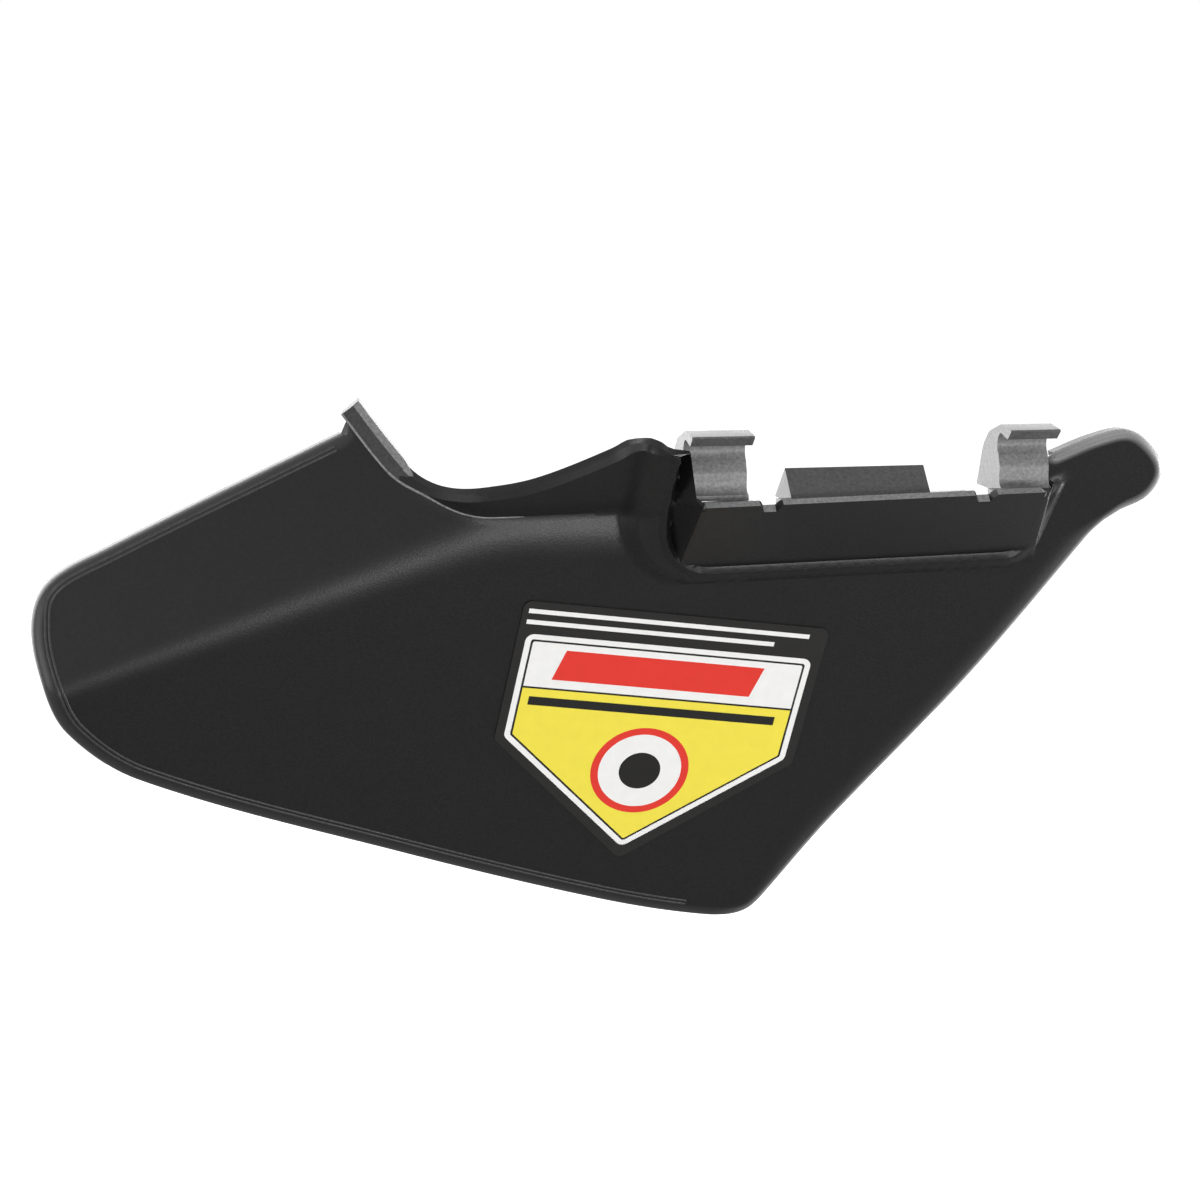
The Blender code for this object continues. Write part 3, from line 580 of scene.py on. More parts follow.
@dataclass
class HoodForm:
    """The outer surface of the hood as a depth y(x, z), before its turn against the hinge rod.

    The points of its three outlines are in millimetres.
    """

    panel_y: float = 5.8 * MM
    panel_tilt: float = 0.365
    fold_start: Point = (-266.0 * MM, -70.8 * MM)
    fold_rise: float = 0.342
    fold_top_z: float = -22.5 * MM
    fold_top_blend: float = 5.0 * MM
    fold_length: float = 180.0 * MM
    fold_blends: Point = (4.0 * MM, 10.0 * MM)
    roof_slope: float = 0.47
    roof_fade: float = 12.0 * MM
    collar_foot_z: float = -18.4 * MM
    collar_bend: Point = (-161.0 * MM, 3.4 * MM)
    collar_run: float = -1.3
    collar_blend: float = 24.0 * MM
    collar_flare: float = 1.45
    crease_blend: float = 1.0 * MM
    rim_band: float = 2.4 * MM
    ridge_x: float = -84.0 * MM
    ridge_foot_z: float = -45.0 * MM
    ridge_foot_radius: float = 26.0 * MM
    ridge_height: float = 4.0 * MM
    ridge_full_width: float = 16.0 * MM
    bead_left_x: float = -68.5 * MM
    bead_z: float = -41.0 * MM
    bead_right_x: float = 57.5 * MM
    bead_top_right_x: float = 67.0 * MM
    bead_radii: Point = (17.0 * MM, 10.0 * MM)
    bead_height: float = 1.2 * MM
    bead_half_width: float = 2.2 * MM
    foot_margin: float = 3.6 * MM
    ridge_fade: float = 8.0 * MM
    rim_y: float = -10.8 * MM
    rim_z: float = -14.6 * MM
    rim_left_x: float = -60.4 * MM
    rim_right_x: float = 57.2 * MM
    awning_lean: float = 1.196
    end_wall_slope: float = 2.4
    wall_leans: Point = (0.95, 0.745)
    wall_closing: float = 6.0
    awning_blend: float = 0.8 * MM
    notch_centres: Point = (-37.4 * MM, 35.4 * MM)
    notch_width: float = 5.9 * MM
    notch_bevel: float = 0.9 * MM
    notch_depth: float = 2.6 * MM
    inlet_x: float = 60.2 * MM
    inlet_top_z: float = -7.6 * MM
    strip: tuple[Point, ...] = ((-61.8 * MM, -12.4 * MM), (-63.0 * MM, 2.8 * MM))
    hem_radius: float = 4.0 * MM
    hem_depth: float = 5.0 * MM
    upper_radius: float = 3.1 * MM
    upper_start_z: float = -52.0 * MM
    upper_fade: float = 16.0 * MM
    front_radius: float = 12.0 * MM
    front_depth: float = 28.0 * MM
    front_start_x: float = -42.0 * MM
    front_fade: float = 34.0 * MM
    nose_radius: float = 3.6 * MM
    nose_depth: float = 6.0 * MM
    nose_start_z: float = -36.0 * MM
    nose_fade: float = 14.0 * MM
    ridge_top_z: float = 8.0 * MM
    swell_share: float = 0.4
    swell_fade: float = 4.0 * MM
    collar_fade: float = 5.0 * MM
    collar_left_x: float = -171.0 * MM
    slope_step: float = 1.0 * MM
    collar_step: float = 1.6 * MM
    crease_step: float = 1.5 * MM
    crease_count: int = 80
    wall_crease_step: float = 0.8 * MM
    wall_crease_top_z: float = 3.2 * MM
    wall_crease_side: float = 0.6 * MM
    wall_crease_rounds: int = 25
    awning_margin: float = 3.0 * MM
    edge_points: tuple[Point, ...] = (
        (-171.5, 8.4),
        (-251.0, -27.8),
        (-270.5, -38.4),
        (-276.3, -51.0),
        (-274.0, -69.0),
        (-266.5, -87.8),
        (-243.5, -106.8),
        (-155.5, -141.0),
        (-83.0, -165.9),
        (-45.0, -175.5),
        (-28.5, -175.8),
        (-18.6, -167.4),
        (2.0, -141.2),
        (48.2, -86.4),
        (88.8, -30.4),
    )
    nose_points: tuple[Point, ...] = (
        (93.0, -26.6),
        (101.9, -21.6),
        (105.8, -13.0),
        (102.2, -5.0),
        (92.0, 2.6),
        (80.0, 1.0),
        (66.0, -4.4),
    )
    collar_points: tuple[Point, ...] = (
        (-70.5, 3.2),
        (-75.5, 6.2),
        (-81.0, 7.3),
        (-88.0, 3.0),
        (-110.8, -6.6),
        (-128.0, -9.8),
        (-141.0, -9.8),
        (-150.0, -5.6),
        (-158.0, 3.8),
        (-167.5, 17.5),
    )

    def bead_path(self) -> Path:
        """Draws the crest line of the ridge.

        Returns:
            The line, from upper left round to upper right.
        """
        corners = (
            (self.bead_left_x, self.ridge_top_z),
            (self.bead_left_x, self.bead_z),
            (self.bead_right_x, self.bead_z),
            (self.bead_top_right_x, self.rim_z),
        )
        return rounded_path(corners, self.bead_radii)

    def foot_path(self) -> Path:
        """Draws the line where the ridge leaves the side panel.

        Returns:
            The line, from upper left round to upper right.
        """
        corners = (
            (self.ridge_x, self.ridge_top_z),
            (self.ridge_x, self.ridge_foot_z),
            (self.bead_right_x + self.foot_margin, self.ridge_foot_z),
            (self.bead_top_right_x + self.foot_margin, self.rim_z),
        )
        return rounded_path(corners, (self.ridge_foot_radius, self.bead_radii[1] + self.foot_margin))

    def collar_foot(self, x: Grid) -> Grid:
        """Gives the height of the collar's foot along X."""
        run = self.collar_bend[1] + self.collar_run * (x - self.collar_bend[0])
        return smooth_max(run, np.full_like(run, self.collar_foot_z), self.collar_blend)

    def roof_share(self, x: Grid) -> Grid:
        """Gives 1 where the roof stands over the panel, and 0 past the ridge."""
        return 1.0 - smooth_step((x - self.ridge_x) / self.roof_fade)

    def hood(self, x: Grid, z: Grid) -> Grid:
        """Gives the side panel and the roof, with the rounded fold between them.

        Args:
            x: Places along X.
            z: Places along Z.

        Returns:
            The depth of each place.
        """
        panel = self.panel_y - self.panel_tilt * z
        line = self.fold_start[1] + self.fold_rise * (x - self.fold_start[0])
        fold = smooth_min(line, np.full_like(x, self.fold_top_z), self.fold_top_blend)
        along = np.clip((x - self.fold_start[0]) / self.fold_length, 0.0, 1.0)
        blend = self.fold_blends[0] + (self.fold_blends[1] - self.fold_blends[0]) * along
        roof = self.panel_y - self.panel_tilt * fold + self.roof_slope * (z - fold)
        share = self.roof_share(x)
        return smooth_max(panel, roof, blend) * share + panel * (1.0 - share)

    def collar_rim(self, step: float) -> Path:
        """Gives the rim of the collar, from the ridge to the collar's upper end."""
        return spline(self.collar_points, step)

    def collar_rise(self, x: Grid, z: Grid) -> Grid:
        """Measures how far the flared collar stands outboard of the hood, with its upright rim band.

        Args:
            x: Places along X.
            z: Places along Z.

        Returns:
            The rise of each place.
        """
        step = self.slope_step
        slope = (self.collar_foot(x + step) - self.collar_foot(x - step)) / (2.0 * step)
        above = (z - self.collar_foot(x)) / np.sqrt(1.0 + slope**2)
        from_rim = path_frame(x, z, self.collar_rim(self.collar_step))[0]
        above = above - np.maximum(self.rim_band - from_rim, 0.0)
        ends = 1.0 - smooth_step((x - self.bead_left_x) / self.collar_fade)
        lean = self.roof_slope + self.panel_tilt
        flare = self.collar_flare - lean * (1.0 - self.roof_share(x))
        return flare * ends * 0.5 * (above + np.sqrt(above**2 + self.crease_blend**2))

    def ridge_rise(self, x: Grid, z: Grid) -> Grid:
        """Measures the swelling between the ridge's foot and its crest, with the bead on the crest.

        Args:
            x: Places along X.
            z: Places along Z.

        Returns:
            The rise of each place.
        """
        from_foot = signed_distance(x, z, self.foot_path())
        from_bead = signed_distance(x, z, self.bead_path())
        gap = np.maximum(from_foot - from_bead, 1e-6)
        share = np.clip(from_foot / gap, 0.0, 1.0)
        height = self.ridge_height * np.sqrt(np.clip(gap / self.ridge_full_width, 0.0, 1.0))
        inside = 1.0 - smooth_step(from_bead / self.swell_fade)
        swell = height * smooth_step(share / self.swell_share) * inside
        bead = self.bead_height * np.clip(1.0 - (from_bead / self.bead_half_width) ** 2, 0.0, 1.0)
        fade = smooth_step((z - self.rim_z) / self.ridge_fade + 0.5) * (x > 0.0)
        return (swell + bead) * (1.0 - fade)

    def awning(self, x: Grid, z: Grid) -> Grid:
        """Gives the leaning flange that carries the hooks, and its two end walls.

        Args:
            x: Places along X.
            z: Places along Z.

        Returns:
            The depth of each place.
        """
        low = np.minimum(z, self.rim_z) - self.rim_z
        high = np.maximum(z, self.rim_z) - self.rim_z
        flange = self.rim_y - self.awning_lean * low
        left = self.rim_y - self.end_wall_slope * (x - self.rim_left_x) - self.wall_leans[0] * low
        right = self.rim_y + self.end_wall_slope * (x - self.rim_right_x) - self.wall_leans[1] * low
        right += self.wall_closing * high
        return smooth_max(smooth_max(flange, left, self.awning_blend), right, self.awning_blend)

    def ridged(self, x: Grid, z: Grid) -> Grid:
        """Gives the hood with its collar and its ridge, without the awning."""
        return self.hood(x, z) - self.collar_rise(x, z) - self.ridge_rise(x, z)

    def surface(self, x: Grid, z: Grid) -> Grid:
        """Gives the whole outer surface before its edge rolls back."""
        return smooth_min(self.ridged(x, z), self.awning(x, z), self.awning_blend)

    def hem(self, step: float) -> Path:
        """Gives the free edge: the outlet end, the bottom, the front and the nose."""
        return np.vstack([spline(self.edge_points, step), spline(self.nose_points, step)])

    def front_share(self, x: Grid) -> Grid:
        """Gives 1 along the front edge, and 0 along the bottom and round the outlet end."""
        return smooth_step((x - self.front_start_x) / self.front_fade)

    def upper_share(self, x: Grid, z: Grid) -> Grid:
        """Gives 1 along the upper edge of the outlet end, and 0 along the bottom and the front."""
        return smooth_step((z - self.upper_start_z) / self.upper_fade) * (1.0 - self.front_share(x))

    def nose_share(self, x: Grid, z: Grid) -> Grid:
        """Gives 1 round the nose, and 0 elsewhere."""
        return smooth_step((z - self.nose_start_z) / self.nose_fade) * self.front_share(x)

    def edge_radius(self, x: Grid, z: Grid) -> Grid:
        """Gives the radius that the edge rolls back on.

        Args:
            x: Places along X.
            z: Places along Z.

        Returns:
            The radius at each place.
        """
        radius = self.hem_radius + (self.front_radius - self.hem_radius) * self.front_share(x)
        radius = radius + (self.upper_radius - self.hem_radius) * self.upper_share(x, z)
        return radius + (self.nose_radius - radius) * self.nose_share(x, z)

    def skirt_depth(self, x: Grid, z: Grid) -> Grid:
        """Gives how far the skirt behind the edge reaches back."""
        depth = self.hem_depth + (self.front_depth - self.hem_depth) * self.front_share(x)
        return depth + (self.nose_depth - depth) * self.nose_share(x, z)

    def edge_roll(self, x: Grid, z: Grid, distance: Grid) -> Grid:
        """Measures how far the surface rolls back near the free edge.

        Args:
            x: Places along X.
            z: Places along Z.
            distance: Their distances from the edge.

        Returns:
            How much deeper each place lies.
        """
        radius = self.edge_radius(x, z)
        inside = np.clip(distance, 0.0, radius)
        return radius - np.sqrt(radius**2 - (radius - inside) ** 2)

    def rim(self) -> Path:
        """Draws the rim of the awning, with its notches.

        Returns:
            The rim, from right to left.
        """
        bevel = self.notch_bevel
        half = 0.5 * self.notch_width
        points = [(self.inlet_x, self.inlet_top_z), (self.inlet_x, self.rim_z)]
        points.append((self.rim_right_x, self.rim_z))
        for centre in sorted(self.notch_centres, reverse=True):
            points.append((centre + half + bevel, self.rim_z))
            points.append((centre + half - bevel, self.rim_z - self.notch_depth))
            points.append((centre - half + bevel, self.rim_z - self.notch_depth))
            points.append((centre - half - bevel, self.rim_z))
        points.append((self.rim_left_x, self.rim_z))
        return np.array(points + list(self.strip))

    def wall_creases(self) -> list[Path]:
        """Finds the lines where the awning's end walls meet the hood, by repeated substitution.

        Returns:
            The left line, and the right one with a line on either side of it.
        """
        z = np.arange(self.bead_z, self.wall_crease_top_z, self.wall_crease_step)
        low = np.minimum(z, self.rim_z) - self.rim_z
        high = np.maximum(z, self.rim_z) - self.rim_z
        left = np.full_like(z, self.rim_left_x)
        right = np.full_like(z, self.rim_right_x)
        for _ in range(self.wall_crease_rounds):
            reach = self.ridged(left, z) - self.rim_y + self.wall_leans[0] * low
            left = self.rim_left_x - reach / self.end_wall_slope
            reach = self.ridged(right, z) - self.rim_y + self.wall_leans[1] * low - self.wall_closing * high
            right = self.rim_right_x + reach / self.end_wall_slope
        sides = (left, right - self.wall_crease_side, right, right + self.wall_crease_side)
        return [np.column_stack([side, z]) for side in sides]

    def creases(self) -> list[Path]:
        """Gathers the lines that the mesh follows, so that its creases are crisp.

        Returns:
            The lines, the end walls' first.
        """
        step = self.crease_step
        xs = np.linspace(self.collar_left_x, self.ridge_x, self.crease_count)
        bottom = self.bead_z + self.awning_margin
        low = bottom - self.rim_z
        shifts = [low * (self.awning_lean - lean) / self.end_wall_slope for lean in self.wall_leans]
        left = np.array([(self.rim_left_x, self.rim_z), (self.rim_left_x + shifts[0], bottom)])
        right = np.array([(self.rim_right_x, self.rim_z), (self.rim_right_x - shifts[1], bottom)])
        crest = divided(self.bead_path(), step)
        side = left_normals(crest) * self.bead_half_width
        foot = divided(self.foot_path(), step)
        lines = self.wall_creases() + [divided(left, step), divided(right, step)]
        return lines + [np.column_stack([xs, self.collar_foot(xs)]), foot, crest, crest + side, crest - side]


@dataclass
class Hood:
    """The wall of the hood: its outer face, inner face, skirt and rims, as one closed mesh.

    The rings lie inside its outline at these distances in millimetres. The shares are of a cell.
    """

    form: HoodForm
    finish: bpy.types.Material
    rim_finish: bpy.types.Material
    wall: float = 2.8 * MM
    cell: float = 2.2 * MM
    detail_cell: float = 1.2 * MM
    detail_margins: Point = (6.0 * MM, 4.0 * MM)
    collar_cell: float = 1.5 * MM
    collar_corner: Point = (-176.0 * MM, -26.0 * MM)
    row_share: float = 0.87
    edge_share: float = 0.4
    spread_share: float = 0.62
    edge_gap: float = 0.3 * MM
    line_gap: float = 0.4 * MM
    edge_step: float = 2.0 * MM
    rim_step: float = 1.3 * MM
    level_run: float = 0.05 * MM
    hem_rings: tuple[float, ...] = (0.35, 0.8, 1.4, 2.1, 2.9, 3.5, 4.0, 4.6, 5.4, 6.6, 8.2, 10.2, 12.2)
    rim_rings: tuple[float, ...] = (0.5, 1.2, 1.8, 2.4, 3.1)
    turn_reach: float = 12.0 * MM
    rim_reach: float = 5.0 * MM
    steep: float = 2.0
    skirt_rows: int = 5
    # How far in and how strongly the edges are painted lighter, as a painted highlight, round the outlet and
    # along the front.
    highlight_reaches: Point = (4.2 * MM, 4.0 * MM)
    highlight_amounts: Point = (0.08, 1.0)

    def painted_highlight(self, x: Grid, z: Grid, distance: Grid) -> Grid:
        """Gives how much lighter the edge is painted, a painted highlight of grazing light: faintly round
        the outlet, more along the front.

        Args:
            x: Places along X.
            z: Places along Z.
            distance: Their distances from the edge.

        Returns:
            The painted highlight of each place, from 0 to 1.
        """
        front = self.form.front_share(x)
        reach = self.highlight_reaches[0] + (self.highlight_reaches[1] - self.highlight_reaches[0]) * front
        amount = self.highlight_amounts[0] + (self.highlight_amounts[1] - self.highlight_amounts[0]) * front
        return amount * np.clip(1.0 - distance / reach, 0.0, 1.0) ** (0.5 + 0.5 * front)

    def grid(self, hem: Path, inlet: Path) -> tuple[Grid, Grid, list[list[int]], list[int]]:
        """Spreads points over the outline and joins them into triangles.

        Args:
            hem: The free edge.
            inlet: The rest of the outline.

        Returns:
            The places along X and Z, the triangles, and the numbers of the outline's own points.
        """
        form = self.form
        outline = np.vstack([hem, inlet])
        closed = np.vstack([outline, outline[:1]])
        points = [tuple(point) for point in outline]
        edges = [(i, (i + 1) % len(outline)) for i in range(len(outline))]
        rings = inset_rings(hem, [distance * MM for distance in self.hem_rings])
        rings += inset_rings(inlet, [distance * MM for distance in self.rim_rings])
        for path in rings + form.creases():
            previous = None
            placed = np.array(points)
            for point, depth in zip(path, signed_distance(path[:, 0], path[:, 1], closed)):
                if depth < self.edge_gap or np.hypot(*(placed - point).T).min() < self.line_gap:
                    previous = None
                    continue
                points.append(tuple(point))
                if previous is not None:
                    edges.append((previous, len(points) - 1))
                previous = len(points) - 1

        side, under = self.detail_margins
        left, bottom = self.collar_corner
        low_x, low_z = outline.min(axis=0)
        high_x, high_z = outline.max(axis=0)
        regions = (
            (form.ridge_x - side, form.bead_top_right_x + side, form.ridge_foot_z - under, self.detail_cell),
            (left, form.ridge_x, bottom, self.collar_cell),
            (low_x, high_x, low_z, self.cell),
        )
        for x_min, x_max, z_min, cell in regions:
            taken = KDTree(len(points))
            for i, (x, z) in enumerate(points):
                taken.insert((x, z, 0.0), i)
            taken.balance()
            rows = np.arange(z_min, high_z, cell * self.row_share)
            grid_x, grid_z = np.meshgrid(np.arange(x_min, x_max, cell), rows)
            grid_x[1::2] += 0.5 * cell
            keep = signed_distance(grid_x, grid_z, closed) > self.edge_share * cell
            for x, z in zip(grid_x[keep], grid_z[keep]):
                if taken.find((x, z, 0.0))[2] > self.spread_share * cell:
                    points.append((x, z))
        made = delaunay_2d_cdt([Vector(p) for p in points], edges, [list(range(len(outline)))], 1, 1e-7)
        number = {source: i for i, sources in enumerate(made[3]) for source in sources}
        flat = np.array([tuple(point) for point in made[0]])
        return flat[:, 0], flat[:, 1], made[2], [number[i] for i in range(len(outline))]

    def inner(self, x: Grid, z: Grid, hem: Path, inlet: Path) -> tuple[Grid, Grid, Grid]:
        """Finds the inner face of the wall behind each point of the outer face.

        Args:
            x: Places along X.
            z: Places along Z.
            hem: The free edge.
            inlet: The rest of the outline.

        Returns:
            The inner points along X, Y and Z.
        """
        form, wall, step = self.form, self.wall, self.form.slope_step
        plain = replace(form, rim_band=0.0)
        slope_x = (plain.surface(x + step, z) - plain.surface(x - step, z)) / (2.0 * step)
        slope_z = (plain.surface(x, z + step) - plain.surface(x, z - step)) / (2.0 * step)
        stretch = np.sqrt(1.0 + slope_x**2 + slope_z**2)
        edge, inward_x, inward_z = path_frame(x, z, hem)
        turn = wall * np.clip(1.0 - edge / self.turn_reach, 0.0, 1.0)
        hem_x, hem_z = x + inward_x * turn, z + inward_z * turn
        rim = path_frame(x, z, inlet)[0]
        lift = np.clip(1.0 - rim / self.rim_reach, 0.0, 1.0) * np.clip(edge / self.rim_reach, 0.0, 1.0)
        lift *= wall * (1.0 - smooth_step(stretch - self.steep)) / stretch
        radius = form.edge_radius(x, z) - wall
        inside = np.clip(edge + turn - wall, 0.0, radius)
        roll = radius - np.sqrt(radius**2 - (radius - inside) ** 2)
        y = form.surface(hem_x, hem_z) - (slope_x**2 + slope_z**2) * lift + wall * stretch + roll
        return hem_x - slope_x * lift, y, hem_z - slope_z * lift

    def build(self) -> bpy.types.Object:
        """Builds the hood.

        Returns:
            The finished piece.
        """
        form = self.form
        hem = form.hem(self.edge_step)
        inlet = np.vstack([divided(form.rim(), self.rim_step), form.collar_rim(form.collar_step)])
        x, z, faces, border = self.grid(hem, inlet)
        edge = path_frame(x, z, hem)[0]
        y = form.surface(x, z) + form.edge_roll(x, z, edge)
        # Painted highlight: how much lighter each point near the edge is painted, kept on the vertices for
        # the finish.
        worn = self.painted_highlight(x, z, edge)
        inner = self.inner(x, z, hem, np.vstack([hem[-1:], inlet, hem[:1]]))

        mesh = bmesh.new()
        painted_highlight = mesh.verts.layers.float.new(PAINTED_EDGE_HIGHLIGHT)
        used = sorted({i for face in faces for i in face})
        outside = {i: mesh.verts.new((x[i], y[i], z[i])) for i in used}
        inside = {i: mesh.verts.new((inner[0][i], inner[1][i], inner[2][i])) for i in used}
        for i, vert in outside.items():
            vert[painted_highlight] = worn[i]
        for face in faces:
            mesh.faces.new([outside[i] for i in face])
            mesh.faces.new([inside[i] for i in reversed(face)])
        rows = [[(outside[i], inside[i]) for i in border[: len(hem)]]]
        for k in range(1, self.skirt_rows + 1):
            row = []
            for i in border[: len(hem)]:
                back = Vector((0.0, form.skirt_depth(x[i], z[i]) * k / self.skirt_rows, 0.0))
                row.append((mesh.verts.new(outside[i].co + back), mesh.verts.new(inside[i].co + back)))
            rows.append(row)
        for row, after in zip(rows[:-1], rows[1:]):
            for k in range(len(hem) - 1):
                mesh.faces.new((row[k][0], after[k][0], after[k + 1][0], row[k + 1][0]))
                mesh.faces.new((row[k][1], row[k + 1][1], after[k + 1][1], after[k][1]))
            mesh.faces.new((row[0][0], row[0][1], after[0][1], after[0][0]))
            mesh.faces.new((row[-1][0], after[-1][0], after[-1][1], row[-1][1]))
        for (near, near_in), (far, far_in) in zip(rows[-1][:-1], rows[-1][1:]):
            mesh.faces.new((near, near_in, far_in, far))
        open_run = border[len(hem) - 1 :] + border[:1]
        for i, j in zip(open_run[:-1], open_run[1:]):
            face = mesh.faces.new((outside[i], inside[i], inside[j], outside[j]))
            # The level faces along the awning's rim take the lighter finish: painted light for the lit rim
            # strip.
            middle = 0.5 * (x[i] + x[j])
            level = abs(z[i] - z[j]) < self.level_run
            face.material_index = int(level and form.rim_left_x < middle < form.rim_right_x)
        bmesh.ops.recalc_face_normals(mesh, faces=mesh.faces)
        mesh.transform(hood_place())
        piece = finished("hood_shell", mesh, sharp=27.0)
        piece.data.materials.append(self.finish)
        piece.data.materials.append(self.rim_finish)
        return piece


@dataclass
class HemLines:
    """The pair of fine raised lines that follow the hem, swept along it by geometry nodes."""

    form: HoodForm
    finish: bpy.types.Material
    name: str = "hem_lines"
    insets: tuple[float, ...] = (4.7 * MM, 6.0 * MM)
    upper_shift: float = 2.2 * MM
    radius: float = 0.55 * MM
    sunk: float = 0.22 * MM
    end_x: float = -52.0 * MM
    hem_step: float = 2.0 * MM
    spacing: float = 1.6 * MM
    sides: int = 10

    def routes(self) -> list[Path]:
        """Finds the two lines on the hood's surface.

        Returns:
            The points of each line in space.
        """
        form = self.form
        hem = spline(form.edge_points, self.hem_step)
        inward = left_normals(hem)
        kept = (hem[:, 0] < self.end_x) & (np.arange(len(hem)) > 1)
        routes = []
        for inset in self.insets:
            insets = inset - self.upper_shift * form.upper_share(hem[:, 0], hem[:, 1])
            x, z = (hem + inward * insets[:, None])[kept].T
            y = form.surface(x, z) + form.edge_roll(x, z, insets[kept]) + self.sunk
            routes.append(np.column_stack([x, y, z]))
        return routes

    def tree(self) -> bpy.types.GeometryNodeTree:
        """Builds the node tree that sweeps a round bead along the lines.

        Returns:
            The tree, with the bead's sizes and its finish as inputs.
        """
        tree = bpy.data.node_groups.new("Sweep " + self.name, "GeometryNodeTree")
        kinds = {"Lines": "Geometry", "Bead radius": "Float", "Spacing": "Float", "Sides": "Int"}
        for name, kind in {**kinds, "Finish": "Material"}.items():
            tree.interface.new_socket(name, in_out="INPUT", socket_type="NodeSocket" + kind)
        tree.interface.new_socket("Beads", in_out="OUTPUT", socket_type="NodeSocketGeometry")
        nodes, links = tree.nodes, tree.links
        inputs = nodes.new("NodeGroupInput")
        outputs = nodes.new("NodeGroupOutput")
        to_curve = nodes.new("GeometryNodeMeshToCurve")
        spaced = nodes.new("GeometryNodeResampleCurve")
        spaced.mode = "LENGTH"
        section = nodes.new("GeometryNodeCurvePrimitiveCircle")
        links.new(inputs.outputs["Spacing"], spaced.inputs["Length"])
        links.new(inputs.outputs["Sides"], section.inputs["Resolution"])
        sweep = nodes.new("GeometryNodeCurveToMesh")
        sweep.inputs["Fill Caps"].default_value = True
        soft = nodes.new("GeometryNodeSetShadeSmooth")
        real = nodes.new("GeometryNodeRealizeInstances")
        dress = nodes.new("GeometryNodeSetMaterial")
        links.new(inputs.outputs["Lines"], to_curve.inputs["Mesh"])
        links.new(to_curve.outputs["Curve"], spaced.inputs["Curve"])
        links.new(spaced.outputs["Curve"], sweep.inputs["Curve"])
        links.new(inputs.outputs["Bead radius"], section.inputs["Radius"])
        links.new(section.outputs["Curve"], sweep.inputs["Profile Curve"])
        links.new(sweep.outputs["Mesh"], soft.inputs["Geometry"])
        links.new(soft.outputs["Geometry"], real.inputs["Geometry"])
        links.new(real.outputs["Geometry"], dress.inputs["Geometry"])
        links.new(inputs.outputs["Finish"], dress.inputs["Material"])
        links.new(dress.outputs["Geometry"], outputs.inputs["Beads"])
        return tree

    def build(self) -> bpy.types.Object:
        """Builds the lines.

        Returns:
            The finished piece.
        """
        mesh = bmesh.new()
        for route in self.routes():
            verts = [mesh.verts.new(point) for point in route]
            for first, second in zip(verts[:-1], verts[1:]):
                mesh.edges.new((first, second))
        mesh.transform(hood_place())
        piece = finished(self.name, mesh)
        tree = self.tree()
        sweep = piece.modifiers.new("Sweep", "NODES")
        sweep.node_group = tree
        values = {"Bead radius": self.radius, "Spacing": self.spacing, "Sides": self.sides}
        values["Finish"] = self.finish
        for item in tree.interface.items_tree:
            if item.item_type == "SOCKET" and item.in_out == "INPUT" and item.name in values:
                sweep[item.identifier] = values[item.name]
        return baked(piece)


@dataclass
class RimLedge:
    """The ledge behind the awning's rim, stepped down at its notches."""

    form: HoodForm
    finish: bpy.types.Material
    wall: float = 1.8 * MM
    depth: float = 12.0 * MM
    inset: float = 0.9 * MM
    rise: float = 0.5 * MM
    step: float = 0.3 * MM
    end_gap: float = 1.0 * MM
    end_step: float = 0.6 * MM
    notch_gap: float = 0.2 * MM
    nose: Point = (0.5 * MM, 0.4 * MM)
    bevel: float = 0.3 * MM

    def profile(self, top: float, under: float) -> list[Point]:
        """Draws the section of a stretch, its front just inside the flange's outer face.

        Args:
            top: The height of its upper side.
            under: The height of its lower side.

        Returns:
            The (y, z) corners.
        """
        form = self.form
        front = form.rim_y + self.inset
        back = form.rim_y + self.depth
        over = front + form.awning_lean * max(form.rim_z - top, 0.0)
        low = front + form.awning_lean * (form.rim_z - under)
        nose_y, nose_z = self.nose
        return [(low, under), (over, top - nose_z), (over + nose_y, top), (back, top), (back, under)]

    def build(self) -> bpy.types.Object:
        """Builds the ledge's floor and its three raised stretches.

        Returns:
            The finished piece.
        """
        form = self.form
        floor = form.rim_z - form.notch_depth
        left = form.rim_left_x + self.end_gap
        right = form.rim_right_x - self.end_gap
        half = 0.5 * form.notch_width + form.notch_bevel + self.notch_gap
        notches = sorted(form.notch_centres)
        starts = [left + self.end_step] + [centre + half for centre in notches]
        ends = [centre - half for centre in notches] + [right - self.end_step]
        high = self.profile(form.rim_z + self.rise, floor - self.step)
        parts = [prism("ledge_floor", self.profile(floor + self.step, floor - self.wall), left, right)]
        parts += [prism(f"ledge_{i}", high, *span) for i, span in enumerate(zip(starts, ends))]
        piece = united("rim_ledge", parts, self.bevel)
        piece.data.transform(hood_place())
        piece.data.materials.append(self.finish)
        return piece


